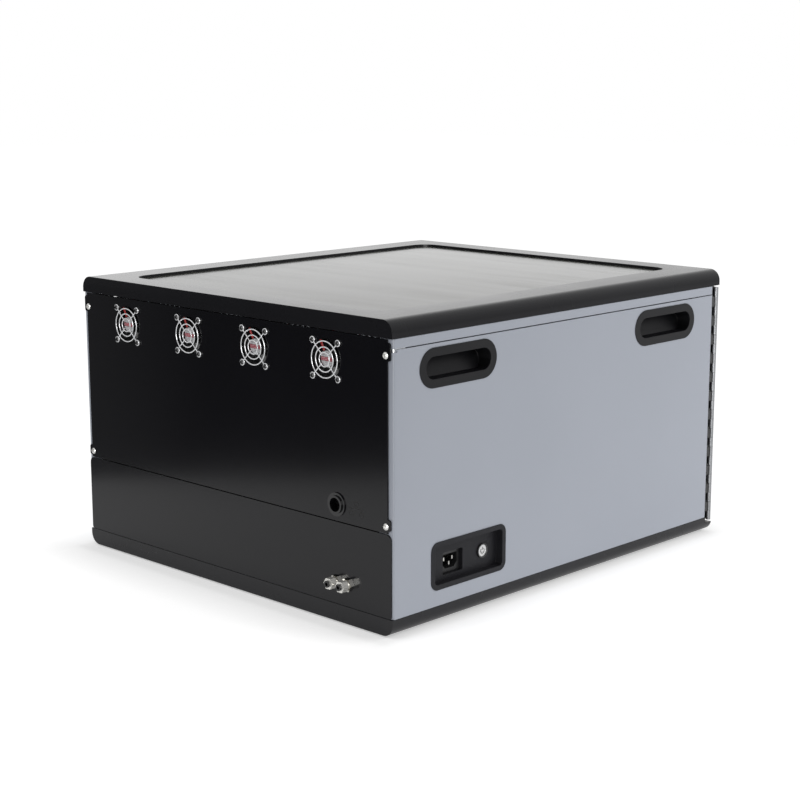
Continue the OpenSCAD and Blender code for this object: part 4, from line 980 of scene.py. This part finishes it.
row = bpy.data.node_groups.new("row_of_screws", "GeometryNodeTree")
for socket, kind in (
    ("Screw", "NodeSocketObject"),
    ("Count", "NodeSocketInt"),
    ("First", "NodeSocketVector"),
    ("Pitch", "NodeSocketVector"),
    ("Seed", "NodeSocketInt"),
    ("Head finish", "NodeSocketMaterial"),
    ("Socket shade", "NodeSocketMaterial"),
):
    row.interface.new_socket(socket, in_out="INPUT", socket_type=kind)
row.interface.new_socket("Screws", in_out="OUTPUT", socket_type="NodeSocketGeometry")
wanted = row.nodes.new("NodeGroupInput").outputs
line = row.nodes.new("GeometryNodeMeshLine")
row.links.new(wanted["Count"], line.inputs["Count"])
row.links.new(wanted["First"], line.inputs["Start Location"])
row.links.new(wanted["Pitch"], line.inputs["Offset"])
picked = row.nodes.new("GeometryNodeObjectInfo")
row.links.new(wanted["Screw"], picked.inputs["Object"])
any_turn = row.nodes.new("FunctionNodeRandomValue")
any_turn.data_type = "FLOAT_VECTOR"
any_turn.inputs["Min"].default_value = (0, 0, 0)
any_turn.inputs["Max"].default_value = (0, math.radians(60), 0)
row.links.new(wanted["Seed"], any_turn.inputs["Seed"])
put = row.nodes.new("GeometryNodeInstanceOnPoints")
row.links.new(line.outputs["Mesh"], put.inputs["Points"])
row.links.new(picked.outputs["Geometry"], put.inputs["Instance"])
row.links.new(any_turn.outputs["Value"], put.inputs["Rotation"])
joined = row.nodes.new("GeometryNodeRealizeInstances")
row.links.new(put.outputs["Instances"], joined.inputs["Geometry"])
heads = row.nodes.new("GeometryNodeSetMaterial")
row.links.new(joined.outputs["Geometry"], heads.inputs["Geometry"])
row.links.new(wanted["Head finish"], heads.inputs["Material"])
in_key = row.nodes.new("GeometryNodeInputNamedAttribute")
in_key.data_type = "BOOLEAN"
in_key.inputs["Name"].default_value = "sunk"
keys = row.nodes.new("GeometryNodeSetMaterial")
row.links.new(heads.outputs["Geometry"], keys.inputs["Geometry"])
row.links.new(in_key.outputs["Attribute"], keys.inputs["Selection"])
row.links.new(wanted["Socket shade"], keys.inputs["Material"])
row.links.new(keys.outputs["Geometry"], row.nodes.new("NodeGroupOutput").inputs["Screws"])

screw_x = (leaf_low.x + KNUCKLE_W + leaf_high.x) / 2
first_z = (leaf_low.z + leaf_high.z) / 2 - SCREW_PITCH * (SCREW_COUNT - 1) / 2
screw_values = {
    "Screw": one_screw,
    "Count": SCREW_COUNT,
    "First": (screw_x, leaf_low.y + LEAF_SUNK, first_z),
    "Pitch": (0, 0, SCREW_PITCH),
    "Seed": 7,
    "Head finish": screw_steel,
    "Socket shade": black_oxide,
}
carrier = in_scene("screw_carrier", bpy.data.meshes.new("screw_carrier"))
rows = carrier.modifiers.new("rows", "NODES")
rows.node_group = row
for socket in row.interface.items_tree:
    if socket.in_out == "INPUT":
        rows[socket.identifier] = screw_values[socket.name]
ready = bpy.context.evaluated_depsgraph_get()
screws_mesh = bpy.data.meshes.new_from_object(carrier.evaluated_get(ready), depsgraph=ready)
bpy.data.objects.remove(carrier)
bpy.data.objects.remove(one_screw)
hinge_screws = in_scene("hinge_screws", screws_mesh)
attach(hinge_screws, "door")


# ---------------------------------------------------------------- Door
# A black coated frame with a finger pull, a smoked glass pane let in from behind and a
# rubber seal on its back. Magnets hold it shut on a front frame in the same coat.
door_black = coated(
    "door_black_coat",
    light=(0.012, 0.012, 0.013), dark=(0.009, 0.009, 0.010),
    patches=6, grain=1100, rough=(0.26, 0.33), relief=2e-6,
)
give(softened("door_frame", 0.0004, merged=False), door_black, "door")
paint(door_black, "front_frame")
smoked = finish("smoked_glass", 0.03)
smoked.node_tree.nodes["Principled BSDF"].inputs["Transmission Weight"].default_value = 1.0
smoked.node_tree.nodes["Principled BSDF"].inputs["IOR"].default_value = 1.5
place_effect(
    smoked, wipe,
    light=(0.34, 0.35, 0.37), dark=(0.30, 0.31, 0.33),
    rough=(0.015, 0.05), Clouds=5.0, Streaks=9.0,
)
paint(smoked, "door_window")
seal_rubber = coated(
    "seal_rubber",
    light=(0.018, 0.018, 0.018), dark=(0.012, 0.012, 0.012),
    patches=40, grain=1400, rough=(0.65, 0.8), relief=1e-5,
)
paint(seal_rubber, "door_seal")
paint(nickel, "door_magnets")
